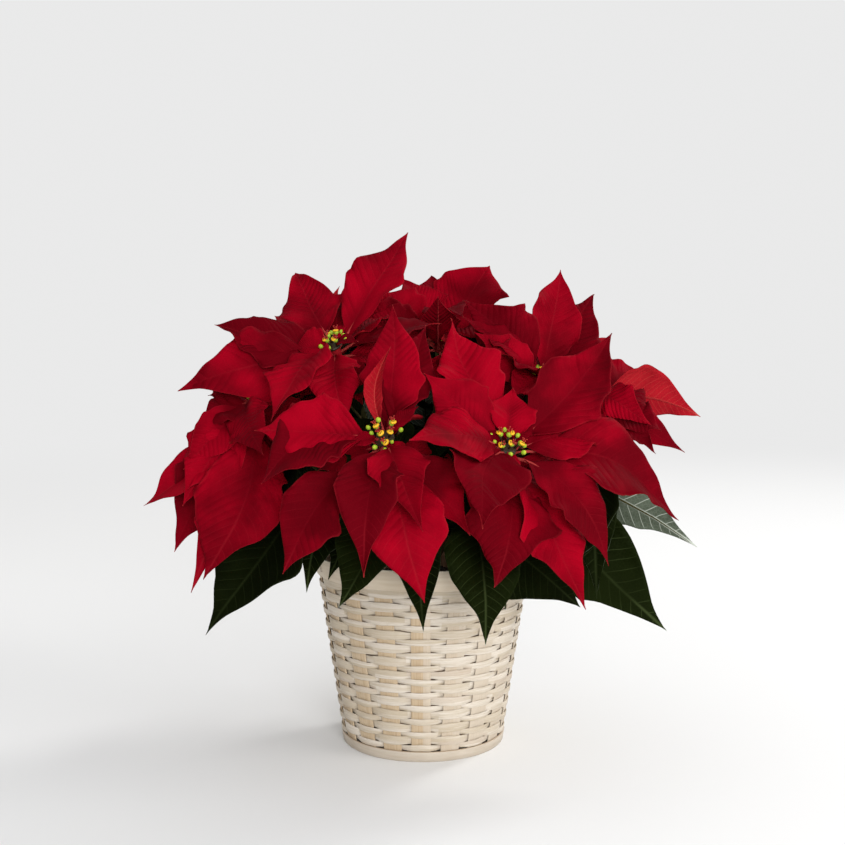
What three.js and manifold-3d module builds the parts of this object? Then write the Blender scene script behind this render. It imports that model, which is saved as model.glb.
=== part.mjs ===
// A poinsettia in its grower's pot, set in a woven wood-splint basket. Millimetres, +Z up.
// Origin: the middle of the basket floor's underside. -Y is the front, +X the plant's right.
import * as THREE from 'three';
import { mergeVertices } from 'three/addons/utils/BufferGeometryUtils.js';
import Module from 'manifold-3d';

const wasm = await Module();
wasm.setup();

// ---------------------------------------------------------------- driving dimensions
const fitGap = 0.3;

const basketHeight = 158;
const footRadius = 66.5;
const rimRadius = 92.5;
const hoopHeight = 8.5;
const hoopThickness = 2;
const collarHeight = 17;
const collarThickness = 2.2;
const floorThickness = 4;

const weaveFootRadius = 64;
const weaveTopRadius = 84.6;
const wallThickness = 3;
const stakeCount = 18;
const stakeTurn = -1.4;
const rowCount = 24;
const overLift = 2.6;
const stakeLift = 0.6;
const betweenLift = 1.1;
const rowGroove = -0.5;

const potFootRadius = 54;
const potTopRadius = 77;
const potHeight = 142;
const potWall = 1.6;
const potLipHeight = 8;
const potLipWidth = 2.6;
const soilTop = 128;
const soilMound = 3;

const trunkRadius = 8;
const trunkFoot = 98;
const trunkTop = 152;
const branchRadius = 3.6;
const branchTipRadius = 2.8;

const hubLength = 12;
const hubRadius = 4.2;
const hubDrop = 13;
const bractSpacing = 9;
const bladeThickness = 1;
const petioleHalfWidth = 1.3;
const stalkShare = 0.12;

const cyathiumCount = 6;
const cyathiaSpread = 3.4;
const domeRadius = 6.2;
const domeHeight = 4.4;
const cupRadius = 2.5;
const cupHeight = 7.4;

// ---------------------------------------------------------------- colours and finishes
const bractRed = new THREE.Color(0x9c0a1c);
const leafGreen = new THREE.Color(0x24361a);
const cyathiumGreen = new THREE.Color(0xa8b53c);
const splintCream = new THREE.Color(0xddcfb8);
const woodBeige = new THREE.Color(0xcdb79b);
const potBrown = new THREE.Color(0x4a3426);
const soilBrown = new THREE.Color(0x2c2018);

const finish = (color, roughness) => new THREE.MeshStandardMaterial({ color, roughness, metalness: 0 });

// ---------------------------------------------------------------- the plant's heads
// Each head: where its cyathia sit, the way it faces, and its bracts.
// A blade's row: tip x, y, z, width, arch, and what sets it apart from a plain blade: its roll about
// its own length, the fold along its midrib, the sideways sweep of its middle, where it is widest,
// and how far its stalk runs before the blade begins.
const heads = [
  {
    at: [-72, -60, 334],
    aim: [-0.35, -0.4, 0.85],
    bracts: [
      [-185, -85, 295, 60, 12, { roll: -50, sweep: -4 }],
      [-108, -140, 280, 54, 13],
      [-56, -135, 272, 46, 12],
      [14, -55, 345, 46, 6, { peak: 0.55 }],
      [-125, 20, 348, 40, 8],
      [-11, -20, 417, 56, 6, { peak: 0.5, sweep: 4, roll: 20 }],
      [-162, -50, 346, 52, 8, { roll: -15, sweep: 8 }],
      [-103, 5, 388, 50, 6, { peak: 0.42, sweep: 3 }],
    ],
  },
  {
    at: [-28, -160, 271],
    aim: [-0.1, -0.75, 0.65],
    bracts: [
      [-2, -215, 163, 66, 16, { peak: 0.52 }],
      [34, -185, 205, 44, 8],
      [-97, -190, 177, 52, 14, { sweep: -8, peak: 0.62, stem: 0.26 }],
      [-111, -178, 236, 62, 8, { sweep: -20, peak: 0.56 }],
      [-20, -130, 360, 46, -6, { sweep: -1 }],
      [-42, -225, 183, 48, 16, { fold: 22, peak: 0.42 }],
      [-2, -215, 210, 42, 12, { peak: 0.42 }],
      [2, -103, 346, 38, 1, { sweep: -2 }],
      [-22, -152, 331, 19, -3, { fold: 38, sweep: 11 }],
    ],
  },
  {
    at: [61, -150, 263],
    aim: [0.2, -0.72, 0.66],
    bracts: [
      [51, -190, 167, 62, 5, { sweep: 6 }],
      [113, -175, 148, 46, 13],
      [133, -160, 178, 50, 20, { sweep: 5 }],
      [190, -110, 201, 60, 20, { peak: 0.46, sweep: 5 }],
      [139, -105, 264, 48, 10],
      [143, -90, 340, 56, 4, { peak: 0.46, sweep: -7 }],
      [20, -95, 350, 54, 2, { sweep: 5 }],
      [-10, -195, 271, 50, 8, { sweep: -4 }],
      [42, -215, 212, 62, 12, { peak: 0.44, sweep: -12 }],
      [0, -140, 311, 44, 4, { roll: -20 }],
    ],
  },
  {
    at: [97, -50, 306],
    aim: [0.4, -0.3, 0.87],
    bracts: [
      [155, 20, 331, 40, 8],
      [125, -95, 292, 42, 8],
      [141, 10, 367, 44, 3],
      [112, -8, 388, 48, 1, { peak: 0.54 }],
      [30, -50, 362, 52, 4, { roll: -60, sweep: -8 }],
      [50, -82, 325, 44, 7],
    ],
  },
  {
    at: [140, -5, 286],
    aim: [0.65, -0.35, 0.65],
    bracts: [
      [182, -60, 245, 46, 10, { roll: 40 }],
      [209, -30, 242, 42, 10, { roll: 45 }],
      [230, 20, 265, 54, 6, { roll: -95, sweep: -11, peak: 0.42 }],
      [188, -50, 262, 50, 6, { roll: 45 }],
      [190, 60, 300, 46, 8],
    ],
  },
  {
    at: [-136, -75, 285],
    aim: [-0.5, -0.62, 0.6],
    bracts: [
      [-156, -140, 163, 72, 14, { roll: -25, sweep: 15, peak: 0.58 }],
      [-168, -138, 153, 34, 10, { roll: -25 }],
      [-186, -100, 174, 48, 5, { roll: -30, sweep: 8 }],
      [-216, -70, 206, 48, 10, { sweep: 18 }],
      [-172, 10, 250, 44, 10],
      [-180, -110, 212, 50, 14, { roll: -35 }],
      [-178, -104, 238, 36, 10, { roll: -36 }],
      [-116, -136, 252, 42, 10],
    ],
  },
  {
    at: [14, 8, 338],
    aim: [0.05, -0.35, 0.93],
    bracts: [
      [-46, 6, 372, 56, 2, { roll: -45 }],
      [12, -44, 366, 34, -5, { peak: 0.55 }],
      [62, -42, 345, 48, 6],
      [84, 10, 352, 46, 7],
      [58, 42, 389, 62, 2, { peak: 0.62 }],
      [6, 62, 384, 56, 4, { peak: 0.55 }],
    ],
  },
  {
    at: [-95, 75, 305],
    aim: [-0.55, 0.5, 0.67],
    bracts: [
      [-165, 110, 245, 52, 16],
      [-110, 150, 240, 52, 16],
      [-170, 55, 295, 48, 10],
      [-50, 150, 290, 48, 10],
      [-75, 85, 375, 44, -3, { peak: 0.6 }],
    ],
  },
  {
    at: [5, 125, 290],
    aim: [0, 0.75, 0.66],
    bracts: [
      [10, 210, 205, 58, 16],
      [-55, 185, 235, 52, 14],
      [70, 180, 235, 52, 14],
      [-62, 140, 312, 44, 6],
      [60, 135, 335, 42, -2, { peak: 0.6 }],
      [0, 105, 375, 46, -6, { peak: 0.6 }],
    ],
  },
  {
    at: [100, 85, 300],
    aim: [0.55, 0.5, 0.67],
    bracts: [
      [160, 130, 230, 54, 8],
      [175, 70, 245, 50, 14],
      [105, 155, 250, 50, 20],
      [75, 150, 325, 42, -2, { peak: 0.6 }],
      [80, 62, 356, 44, -3, { peak: 0.6 }],
    ],
  },
];

// Green leaves at the rim. A row: the head whose branch bears it, counted from 0, how far up that
// branch, then the blade's row as above.
const rimLeaves = [
  [5, 0.62, -166, -90, 109, 62, 12, { roll: -45 }],
  [0, 0.4, -86, -110, 147, 40, 10, { roll: -30 }],
  [1, 0.6, -60, -170, 150, 64, 10, { sweep: 8 }],
  [1, 0.5, 2, -165, 130, 42, 12],
  [2, 0.6, 46, -170, 122, 58, 12],
  [3, 0.45, 62, -122, 136, 40, 8],
  [4, 0.5, 187, -62, 104, 68, 12, { roll: 48, sweep: -2 }],
  [4, 0.84, 134, -95, 140, 50, 6, { roll: 48, stem: 0.3, sweep: 9 }],
  [4, 0.7, 221, -20, 165, 48, 6, { roll: -75 }],
  [4, 0.84, 52, -106, 131, 66, 8, { roll: 40, sweep: 50 }],
];

// Green leaves at the sides and back, and in the shade between the heads.
const innerLeaves = [
  [5, 0.5, -160, 0, 170, 52, 12],
  [7, 0.6, -165, 100, 190, 50, 12],
  [7, 0.5, -110, 125, 145, 54, 14],
  [8, 0.6, -40, 190, 180, 54, 12],
  [8, 0.5, 50, 170, 145, 54, 14],
  [9, 0.6, 125, 140, 180, 54, 12],
  [9, 0.5, 165, 75, 165, 50, 12],
  [4, 0.5, 195, 30, 185, 50, 12],
  [0, 0.7, -120, -95, 240, 50, 8],
  [5, 0.55, -95, -120, 175, 54, 8],
  [2, 0.72, 100, -140, 215, 50, 8],
  [7, 0.62, -70, -5, 290, 54, 6, { roll: -40 }],
];
const greenLeaves = [...rimLeaves, ...innerLeaves];

// ---------------------------------------------------------------- solids
const vector = (point) => new THREE.Vector3(...point);

// Joins a geometry's shared corners, leaving position alone.
function closed(geometry) {
  const bare = geometry.clone();
  bare.deleteAttribute('normal');
  bare.deleteAttribute('uv');
  return mergeVertices(bare, 1e-4);
}

function toSolid(geometry) {
  const merged = closed(geometry);
  return new wasm.Manifold(new wasm.Mesh({
    numProp: 3,
    vertProperties: new Float32Array(merged.attributes.position.array),
    triVerts: new Uint32Array(merged.index.array),
  }));
}

function toGeometry(solid) {
  const mesh = solid.getMesh();
  const geometry = new THREE.BufferGeometry();
  geometry.setAttribute('position', new THREE.BufferAttribute(new Float32Array(mesh.vertProperties), 3));
  geometry.setIndex(new THREE.BufferAttribute(new Uint32Array(mesh.triVerts), 1));
  return geometry;
}

function fuse(geometries) {
  return toGeometry(geometries.map(toSolid).reduce((whole, piece) => whole.add(piece)));
}

function indexed(points, faces) {
  const geometry = new THREE.BufferGeometry();
  geometry.setAttribute('position', new THREE.Float32BufferAttribute(points.flatMap((p) => p.toArray()), 3));
  geometry.setIndex(faces.flat());
  return geometry;
}

// A body turned about Z from a profile of [radius, height] points, its outer side running upward.
function turned(profile, segments) {
  const points = profile.map(([radius, height]) => new THREE.Vector2(radius, height));
  return new THREE.LatheGeometry(points, segments).rotateX(Math.PI / 2);
}

// A closed round bar along a curve, its radius running from one value to another.
function bar(curve, steps, sides, startRadius, endRadius) {
  const frames = curve.computeFrenetFrames(steps, false);
  const points = [];
  for (let step = 0; step <= steps; step += 1) {
    const centre = curve.getPointAt(step / steps);
    const radius = THREE.MathUtils.lerp(startRadius, endRadius, step / steps);
    for (let side = 0; side < sides; side += 1) {
      const angle = (side / sides) * Math.PI * 2;
      points.push(centre.clone()
        .addScaledVector(frames.normals[step], Math.cos(angle) * radius)
        .addScaledVector(frames.binormals[step], Math.sin(angle) * radius));
    }
  }
  const faces = [];
  for (let step = 0; step < steps; step += 1) {
    for (let side = 0; side < sides; side += 1) {
      const a = step * sides + side;
      const b = step * sides + (side + 1) % sides;
      faces.push([a, b, b + sides], [a, b + sides, a + sides]);
    }
  }
  const last = steps * sides;
  for (let side = 1; side < sides - 1; side += 1) {
    faces.push([0, side + 1, side], [last, last + side, last + side + 1]);
  }
  return indexed(points, faces);
}

// ---------------------------------------------------------------- blades
// A blade's outline as [share of the length, share of the half width]: a stalk, a broad shoulder
// where it is widest, and a drawn-out tip.
function outline(peak, stem) {
  const before = (share) => THREE.MathUtils.lerp(stem, peak, share);
  const after = (share) => THREE.MathUtils.lerp(peak, 1, share);
  return [[stem, 0.05], [before(0.42), 0.66], [peak, 1], [after(0.36), 0.8], [after(0.68), 0.34]];
}

// The blade's own frame: along its chord, across it, and out of its upper face.
function bladeFrame(base, tip, aim, roll) {
  const along = tip.clone().sub(base);
  const length = along.length();
  along.normalize();
  const face = aim.clone().addScaledVector(along, -aim.dot(along)).normalize();
  face.applyAxisAngle(along, THREE.MathUtils.degToRad(roll));
  const across = new THREE.Vector3().crossVectors(face, along);
  return { length, along, across, face };
}

function blade(base, aim, [x, y, z, width, arch, shape = {}]) {
  const { roll = 0, fold = 14, sweep = 0, peak = 0.48, stem = stalkShare } = shape;
  const { length, along, across, face } = bladeFrame(base, new THREE.Vector3(x, y, z), aim, roll);
  const tilt = THREE.MathUtils.degToRad(fold);
  const place = (t, side, halfWidth, lift) => base.clone()
    .addScaledVector(along, t * length)
    .addScaledVector(face, arch * Math.sin(Math.PI * t ** 0.8) + halfWidth * Math.abs(side) * Math.sin(tilt) + lift)
    .addScaledVector(across, sweep * Math.sin(Math.PI * t) + halfWidth * side * Math.cos(tilt));
  const stations = [[0, 0], ...outline(peak, stem)]
    .map(([t, share]) => [t, Math.max(petioleHalfWidth, share * width / 2)]);
  const points = [];
  for (const [t, halfWidth] of stations) {
    for (const lift of [bladeThickness / 2, -bladeThickness / 2]) {
      for (const side of [-1, 0, 1]) points.push(place(t, side, halfWidth, lift));
    }
  }
  const tipIndex = points.length;
  points.push(place(1, 0, 0, 0));
  const faces = [];
  const quad = (a, b, c, d) => faces.push([a, b, c], [a, c, d]);
  for (let i = 0; i < stations.length - 1; i += 1) {
    const top = i * 6;
    const next = top + 6;
    for (const j of [0, 1]) {
      quad(top + j, next + j, next + j + 1, top + j + 1);
      faces.push([top + 3 + j, next + 4 + j, next + 3 + j], [top + 3 + j, top + 4 + j, next + 4 + j]);
    }
    quad(top + 2, next + 2, next + 5, top + 5);
    quad(top + 3, next + 3, next, top);
  }
  quad(0, 1, 4, 3);
  quad(1, 2, 5, 4);
  const end = (stations.length - 1) * 6;
  for (const j of [0, 1]) {
    faces.push([end + j, tipIndex, end + j + 1], [end + 3 + j, end + 4 + j, tipIndex]);
  }
  faces.push([end, end + 3, tipIndex], [end + 2, tipIndex, end + 5]);
  return indexed(points, faces);
}

// ---------------------------------------------------------------- heads, cyathia and stems
function headFrame(head) {
  const aim = vector(head.aim).normalize();
  const at = vector(head.at);
  const hub = at.clone().addScaledVector(aim, -hubDrop);
  const turn = new THREE.Quaternion().setFromUnitVectors(new THREE.Vector3(0, 0, 1), aim);
  return { aim, at, hub, turn };
}

// The bracts of one head, rooted in the short red collar that they spring from.
function bractWhorl(head) {
  const { aim, hub, turn } = headFrame(head);
  const collar = new THREE.CylinderGeometry(hubRadius, hubRadius, hubLength, 8).rotateX(Math.PI / 2);
  collar.applyQuaternion(turn).translate(...hub.toArray());
  return [collar, ...head.bracts.map((row, index) => {
    const outward = new THREE.Vector3(...row.slice(0, 3)).sub(hub).projectOnPlane(aim).normalize();
    const step = (index + 0.5) / head.bracts.length - 0.5;
    const base = hub.clone().addScaledVector(outward, hubRadius - 1.6).addScaledVector(aim, step * bractSpacing);
    return blade(base, aim, row);
  })];
}

// The cluster of small cups at the middle of a head, on a low dome.
function cyathia(head) {
  const { aim, hub, turn } = headFrame(head);
  const dome = new THREE.CylinderGeometry(domeRadius, hubRadius - 1, domeHeight, 6).rotateX(Math.PI / 2);
  const pieces = [dome.translate(0, 0, domeHeight / 2)];
  for (let i = 0; i < cyathiumCount; i += 1) {
    const lean = i === 0 ? 0 : 0.85;
    const reach = cyathiaSpread * lean;
    const angle = (i / (cyathiumCount - 1)) * Math.PI * 2;
    const cup = new THREE.SphereGeometry(1, 5, 2).rotateX(Math.PI / 2).scale(cupRadius, cupRadius, cupHeight / 2);
    cup.translate(0, 0, cupHeight / 2 + 1.4);
    cup.rotateY(lean * 0.85).rotateZ(angle);
    cup.translate(Math.cos(angle) * reach, Math.sin(angle) * reach, 2.2 - lean);
    pieces.push(cup);
  }
  const seat = hub.clone().addScaledVector(aim, hubLength / 2 + fitGap);
  return pieces.map((piece) => piece.applyQuaternion(turn).translate(...seat.toArray()));
}

function branchCurve(head) {
  const { aim, hub } = headFrame(head);
  const end = hub.clone().addScaledVector(aim, -hubLength / 2 - fitGap);
  const outward = new THREE.Vector3(end.x, end.y, 0).normalize();
  const start = new THREE.Vector3(0, 0, trunkTop - 14).addScaledVector(outward, 2);
  const rise = start.clone().add(new THREE.Vector3(0, 0, 30)).addScaledVector(outward, 12);
  const settle = end.clone().addScaledVector(aim, -45);
  return new THREE.CubicBezierCurve3(start, rise, settle, end);
}

function trunk() {
  const height = trunkTop - trunkFoot;
  return new THREE.CylinderGeometry(trunkRadius - 1, trunkRadius, height, 8)
    .rotateX(Math.PI / 2).translate(0, 0, trunkFoot + height / 2);
}

function leafOnBranch([headIndex, share, ...row]) {
  const curve = branchCurve(heads[headIndex]);
  const base = curve.getPointAt(share);
  const outward = new THREE.Vector3(row[0], row[1], 0).normalize();
  return blade(base, outward.setZ(0.8).normalize(), row);
}

function leafyStems() {
  const branches = heads.map((head) => bar(branchCurve(head), 6, 5, branchRadius, branchTipRadius));
  return [trunk(), ...branches, ...greenLeaves.map(leafOnBranch)];
}

// ---------------------------------------------------------------- basket, pot and soil
const weaveBottom = hoopHeight + fitGap;
const weaveTop = basketHeight - collarHeight - fitGap;
const wallTop = basketHeight - 2;
const wallSlope = (weaveTopRadius - weaveFootRadius) / weaveTop;
const weaveRadius = (height) => weaveFootRadius + wallSlope * height;

// The woven wall: stakes all round, each row of splint passing over one stake and under the next.
function wovenWall() {
  const columns = stakeCount * 2;
  const rings = [[0, () => weaveRadius(0)], [weaveBottom, () => weaveRadius(weaveBottom)]];
  const pitch = (weaveTop - weaveBottom) / rowCount;
  for (let row = 0; row < rowCount; row += 1) {
    const middle = weaveBottom + (row + 0.5) * pitch;
    const lift = (column) => {
      if (column % 2 === 1) return betweenLift;
      return (column / 2 + row) % 2 === 0 ? overLift : stakeLift;
    };
    rings.push([middle, (column) => weaveRadius(middle) + lift(column)]);
    const seam = middle + pitch / 2;
    rings.push([seam, (column) => weaveRadius(seam) + (column % 2 === 1 ? rowGroove : stakeLift)]);
  }
  rings.push([wallTop, () => weaveRadius(wallTop) + stakeLift]);
  rings.push([wallTop, () => weaveRadius(wallTop) - wallThickness]);
  rings.push([0, () => weaveRadius(0) - wallThickness]);
  const points = rings.flatMap(([height, radiusAt]) => Array.from({ length: columns }, (_, column) => {
    const angle = THREE.MathUtils.degToRad(stakeTurn - 90 + column * 360 / columns);
    const radius = radiusAt(column);
    return new THREE.Vector3(Math.cos(angle) * radius, Math.sin(angle) * radius, height);
  }));
  const faces = [];
  rings.forEach((_, ring) => {
    const below = ring * columns;
    const above = ((ring + 1) % rings.length) * columns;
    for (let column = 0; column < columns; column += 1) {
      const next = (column + 1) % columns;
      faces.push([below + column, below + next, above + next], [below + column, above + next, above + column]);
    }
  });
  return indexed(points, faces);
}

function hoop(bottom, top, bottomRadius, topRadius, thickness) {
  return turned([
    [bottomRadius - thickness, bottom],
    [bottomRadius, bottom],
    [topRadius, top],
    [topRadius - thickness, top],
    [bottomRadius - thickness, bottom],
  ], stakeCount * 2).rotateZ(THREE.MathUtils.degToRad(stakeTurn));
}

function growerPot() {
  const foot = floorThickness + fitGap;
  const top = foot + potHeight;
  const lipFoot = top - potLipHeight;
  return turned([
    [0, foot],
    [potFootRadius, foot],
    [potTopRadius, lipFoot],
    [potTopRadius + potLipWidth, lipFoot],
    [potTopRadius + potLipWidth, top],
    [potTopRadius - potWall + 1, top],
    [potTopRadius - potWall, lipFoot],
    [potFootRadius - potWall, foot + potWall],
    [0, foot + potWall],
  ], 24);
}

function soil() {
  const foot = floorThickness + fitGap * 2 + potWall;
  const potSlope = (potTopRadius - potFootRadius) / (potHeight - potLipHeight);
  const inside = (height) => potFootRadius - potWall - fitGap + potSlope * (height - foot);
  const holeRadius = trunkRadius + fitGap;
  return turned([
    [0, foot],
    [inside(foot), foot],
    [inside(soilTop), soilTop],
    [holeRadius, soilTop + soilMound],
    [holeRadius, trunkFoot - fitGap],
    [0, trunkFoot - fitGap],
  ], 24);
}

// ---------------------------------------------------------------- the assembly
const poinsettia = new THREE.Group();

function place(name, geometry, material) {
  const mesh = new THREE.Mesh(geometry, material);
  mesh.name = name;
  poinsettia.add(mesh);
}

const floorDisc = turned([
  [0, 0],
  [weaveFootRadius - wallThickness - fitGap, 0],
  [weaveFootRadius - wallThickness - fitGap, floorThickness],
  [0, floorThickness],
], 24);
const collarFoot = basketHeight - collarHeight;
const collarFootRadius = weaveRadius(collarFoot) + stakeLift + fitGap + collarThickness;

place('basket_floor', floorDisc, finish(woodBeige, 0.7));
place('basket_weave', wovenWall(), finish(splintCream, 0.75));
place('basket_foot_hoop', hoop(0, hoopHeight, footRadius, footRadius + 1.3, hoopThickness), finish(woodBeige, 0.6));
place('basket_collar', hoop(collarFoot, basketHeight, collarFootRadius, rimRadius, collarThickness),
  finish(woodBeige, 0.6));
place('grower_pot', growerPot(), finish(potBrown, 0.6));
place('soil', soil(), finish(soilBrown, 0.95));
place('leafy_stems', fuse(leafyStems()), finish(leafGreen, 0.6));
heads.forEach((head, index) => {
  place(`bracts_${index + 1}`, fuse(bractWhorl(head)), finish(bractRed, 0.55));
  place(`cyathia_${index + 1}`, fuse(cyathia(head)), finish(cyathiumGreen, 0.6));
});

export default poinsettia;
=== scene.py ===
"""Dresses a potted poinsettia: a woven splint basket, its grower's pot, and the plant."""
import math

import bmesh
import bpy
import numpy as np
from mathutils import Matrix, Vector


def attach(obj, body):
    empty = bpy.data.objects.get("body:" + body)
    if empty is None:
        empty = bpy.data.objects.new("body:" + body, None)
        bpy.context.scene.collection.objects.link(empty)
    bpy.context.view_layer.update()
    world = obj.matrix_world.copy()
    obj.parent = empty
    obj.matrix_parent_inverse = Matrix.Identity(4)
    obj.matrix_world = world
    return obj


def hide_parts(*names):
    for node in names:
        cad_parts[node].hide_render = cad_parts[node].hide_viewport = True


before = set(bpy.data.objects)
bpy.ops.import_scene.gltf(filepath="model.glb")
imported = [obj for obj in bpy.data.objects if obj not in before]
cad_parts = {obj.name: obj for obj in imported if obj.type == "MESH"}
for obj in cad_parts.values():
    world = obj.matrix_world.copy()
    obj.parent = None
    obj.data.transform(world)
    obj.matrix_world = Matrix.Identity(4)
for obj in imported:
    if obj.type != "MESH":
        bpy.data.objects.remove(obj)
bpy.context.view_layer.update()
MM = 0.001


# ---------------------------------------------------------------- the view and the room
# A view from above the basket's rim, looking a little down, over a pale floor that runs out of
# sight. A window stands behind to the right, with soft light from the right and from the front.
eye_across = -0.0005
eye_distance = 1.1007
eye_height = 0.3677
look_down = 5.44
view = bpy.data.cameras.new("view")
view.lens = 57.5
view.sensor_width = 36.0
view.clip_start = 0.05
camera = bpy.data.objects.new("view", view)
camera.location = (eye_across, -eye_distance, eye_height)
camera.rotation_euler = (math.radians(90 - look_down), 0, 0)
bpy.context.scene.collection.objects.link(camera)
bpy.context.scene.camera = camera
bpy.context.scene.view_settings.view_transform = "Standard"


def area_light(name, place, size, power, tint):
    """A round soft light, turned to the middle of the plant."""
    light = bpy.data.lights.new(name, "AREA")
    light.shape = "DISK"
    light.size = size
    light.energy = power
    light.color = tint
    lamp = bpy.data.objects.new(name, light)
    lamp.location = place
    middle = Vector((0, 0, 0.2))
    lamp.rotation_euler = (middle - Vector(place)).to_track_quat("-Z", "Y").to_euler()
    bpy.context.scene.collection.objects.link(lamp)


area_light("window", (2.3, 2.0, 2.5), 0.9, 50, (1.0, 0.99, 0.97))
area_light("side", (3.0, -1.4, 1.9), 2.2, 48, (1.0, 0.99, 0.97))
area_light("room", (0.7, -3.2, 0.9), 1.6, 86, (0.98, 0.99, 1.0))


class Graph:
    """A node tree, and the sums written into it."""

    def __init__(self, tree):
        self.tree = tree

    def feed(self, socket, value):
        if isinstance(value, Value):
            self.tree.links.new(value.socket, socket)
        elif isinstance(value, bpy.types.NodeSocket):
            self.tree.links.new(value, socket)
        else:
            socket.default_value = value

    def node(self, kind, settings=None, **sockets):
        """A node of this kind: its settings first, then its sockets by name or as sN by number."""
        made = self.tree.nodes.new(kind)
        for name, value in (settings or {}).items():
            setattr(made, name, value)
        for name, value in sockets.items():
            by_number = name[0] == "s" and name[1:].isdigit()
            key = int(name[1:]) if by_number else name.replace("_", " ")
            self.feed(made.inputs[key], value)
        return made

    def value(self, kind, settings=None, output=0, **sockets):
        return Value(self, self.node(kind, settings, **sockets).outputs[output])

    def maths(self, operation, *terms):
        sockets = {f"s{i}": term for i, term in enumerate(terms)}
        return self.value("ShaderNodeMath", {"operation": operation}, **sockets)

    def smooth(self, value, low, high, out_low=0.0, out_high=1.0):
        settings = {"interpolation_type": "SMOOTHSTEP"}
        return self.value("ShaderNodeMapRange", settings, s0=value, s1=low, s2=high, s3=out_low,
                          s4=out_high)

    def mix(self, share, first, second):
        colours = [(*c, 1) if isinstance(c, tuple) else c for c in (first, second)]
        return self.value("ShaderNodeMix", {"data_type": "RGBA"}, 2, s0=share, s6=colours[0],
                          s7=colours[1])

    def vector(self, x, y, z):
        return self.value("ShaderNodeCombineXYZ", s0=x, s1=y, s2=z)

    def parts(self, vector):
        split = self.node("ShaderNodeSeparateXYZ", s0=vector)
        return [Value(self, output) for output in split.outputs]

    def polar(self, turn, radius, height):
        """The point at this turn about Z, this radius and this height."""
        return self.vector(self.maths("COSINE", turn) * radius,
                           self.maths("SINE", turn) * radius, height)

    def place(self):
        return self.value("ShaderNodeTexCoord", output="Object")

    def label(self, name):
        return self.value("ShaderNodeAttribute", {"attribute_name": name}, "Fac")

    def noise(self, vector, scale, detail=2.0, roughness=0.5):
        return self.value("ShaderNodeTexNoise", Vector=vector, Scale=scale, Detail=detail,
                          Roughness=roughness)

    def spots(self, count):
        """This many points, all at the origin until they are moved."""
        return self.value("GeometryNodeMeshLine", Count=count, Offset=(0.0, 0.0, 0.0))

    def index(self):
        return self.value("GeometryNodeInputIndex")

    def chance(self, seed):
        """A number from 0 to 1 for each point."""
        return self.value("FunctionNodeRandomValue", {"data_type": "FLOAT"}, 1, s2=0.0, s3=1.0,
                          ID=self.index(), Seed=seed)

    def store(self, geometry, name, value, domain="INSTANCE"):
        settings = {"domain": domain, "data_type": "FLOAT"}
        return self.value("GeometryNodeStoreNamedAttribute", settings, Geometry=geometry,
                          Name=name, Value=value)

    def recall(self, name):
        return self.value("GeometryNodeInputNamedAttribute", {"data_type": "FLOAT"}, Name=name)

    def move(self, geometry, position):
        return self.value("GeometryNodeSetPosition", Geometry=geometry, Position=position)


class Value:
    """A socket that can be written into a sum."""

    def __init__(self, graph, socket):
        self.graph = graph
        self.socket = socket

    def __add__(self, other):
        return self.graph.maths("ADD", self, other)

    def __radd__(self, other):
        return self.graph.maths("ADD", other, self)

    def __sub__(self, other):
        return self.graph.maths("SUBTRACT", self, other)

    def __rsub__(self, other):
        return self.graph.maths("SUBTRACT", other, self)

    def __mul__(self, other):
        return self.graph.maths("MULTIPLY", self, other)

    def __rmul__(self, other):
        return self.graph.maths("MULTIPLY", other, self)

    def __truediv__(self, other):
        return self.graph.maths("DIVIDE", self, other)

    def __rtruediv__(self, other):
        return self.graph.maths("DIVIDE", other, self)

    def __pow__(self, other):
        return self.graph.maths("POWER", self, other)


def finish(name):
    """A new material: its graph, its shader, and the material."""
    material = bpy.data.materials.new(name)
    material.use_nodes = True
    tree = material.node_tree
    return Graph(tree), tree.nodes["Principled BSDF"], material


def mesh_object(name, points, faces):
    """A smooth mesh object at the origin, from points in metres."""
    mesh = bpy.data.meshes.new(name)
    mesh.from_pydata([tuple(p) for p in points], [], [tuple(f) for f in faces])
    mesh.validate()
    smooth_all(mesh)
    thing = bpy.data.objects.new(name, mesh)
    bpy.context.scene.collection.objects.link(thing)
    return thing


def smooth_all(mesh):
    mesh.polygons.foreach_set("use_smooth", [True] * len(mesh.polygons))


world = bpy.data.worlds.new("room")
world.use_nodes = True
sky = Graph(world.node_tree)
_, depth, _ = sky.parts(sky.value("ShaderNodeTexCoord", output="Generated"))
backdrop = world.node_tree.nodes["Background"]
sky.feed(backdrop.inputs["Strength"], sky.smooth(depth, -0.6, 0.5, 0.58, 0.82))
backdrop.inputs["Color"].default_value = (1.0, 1.0, 1.0, 1)
bpy.context.scene.world = world

floor_radius = 2.6
floor_sides = 96
fade_from, fade_to = 0.7, 2.4
floor_ring = [(math.cos(a) * floor_radius, math.sin(a) * floor_radius, 0)
              for a in np.linspace(0, math.tau, floor_sides + 1)[:-1]]
pale_floor = mesh_object("pale_floor", floor_ring, [range(floor_sides)])
graph, shader, floor_paint = finish("floor_paint")
away = graph.value("ShaderNodeVectorMath", {"operation": "LENGTH"}, "Value", s0=graph.place())
for socket, near, far in (("Base Color", 0.80, 0.0), ("Emission Color", 0.0, 0.82)):
    graph.feed(shader.inputs[socket], graph.smooth(away, fade_from, fade_to, near, far))
shader.inputs["Roughness"].default_value = 0.7
shader.inputs["Emission Strength"].default_value = 1.0
shader.inputs["Specular IOR Level"].default_value = 0.0
pale_floor.data.materials.append(floor_paint)


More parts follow.
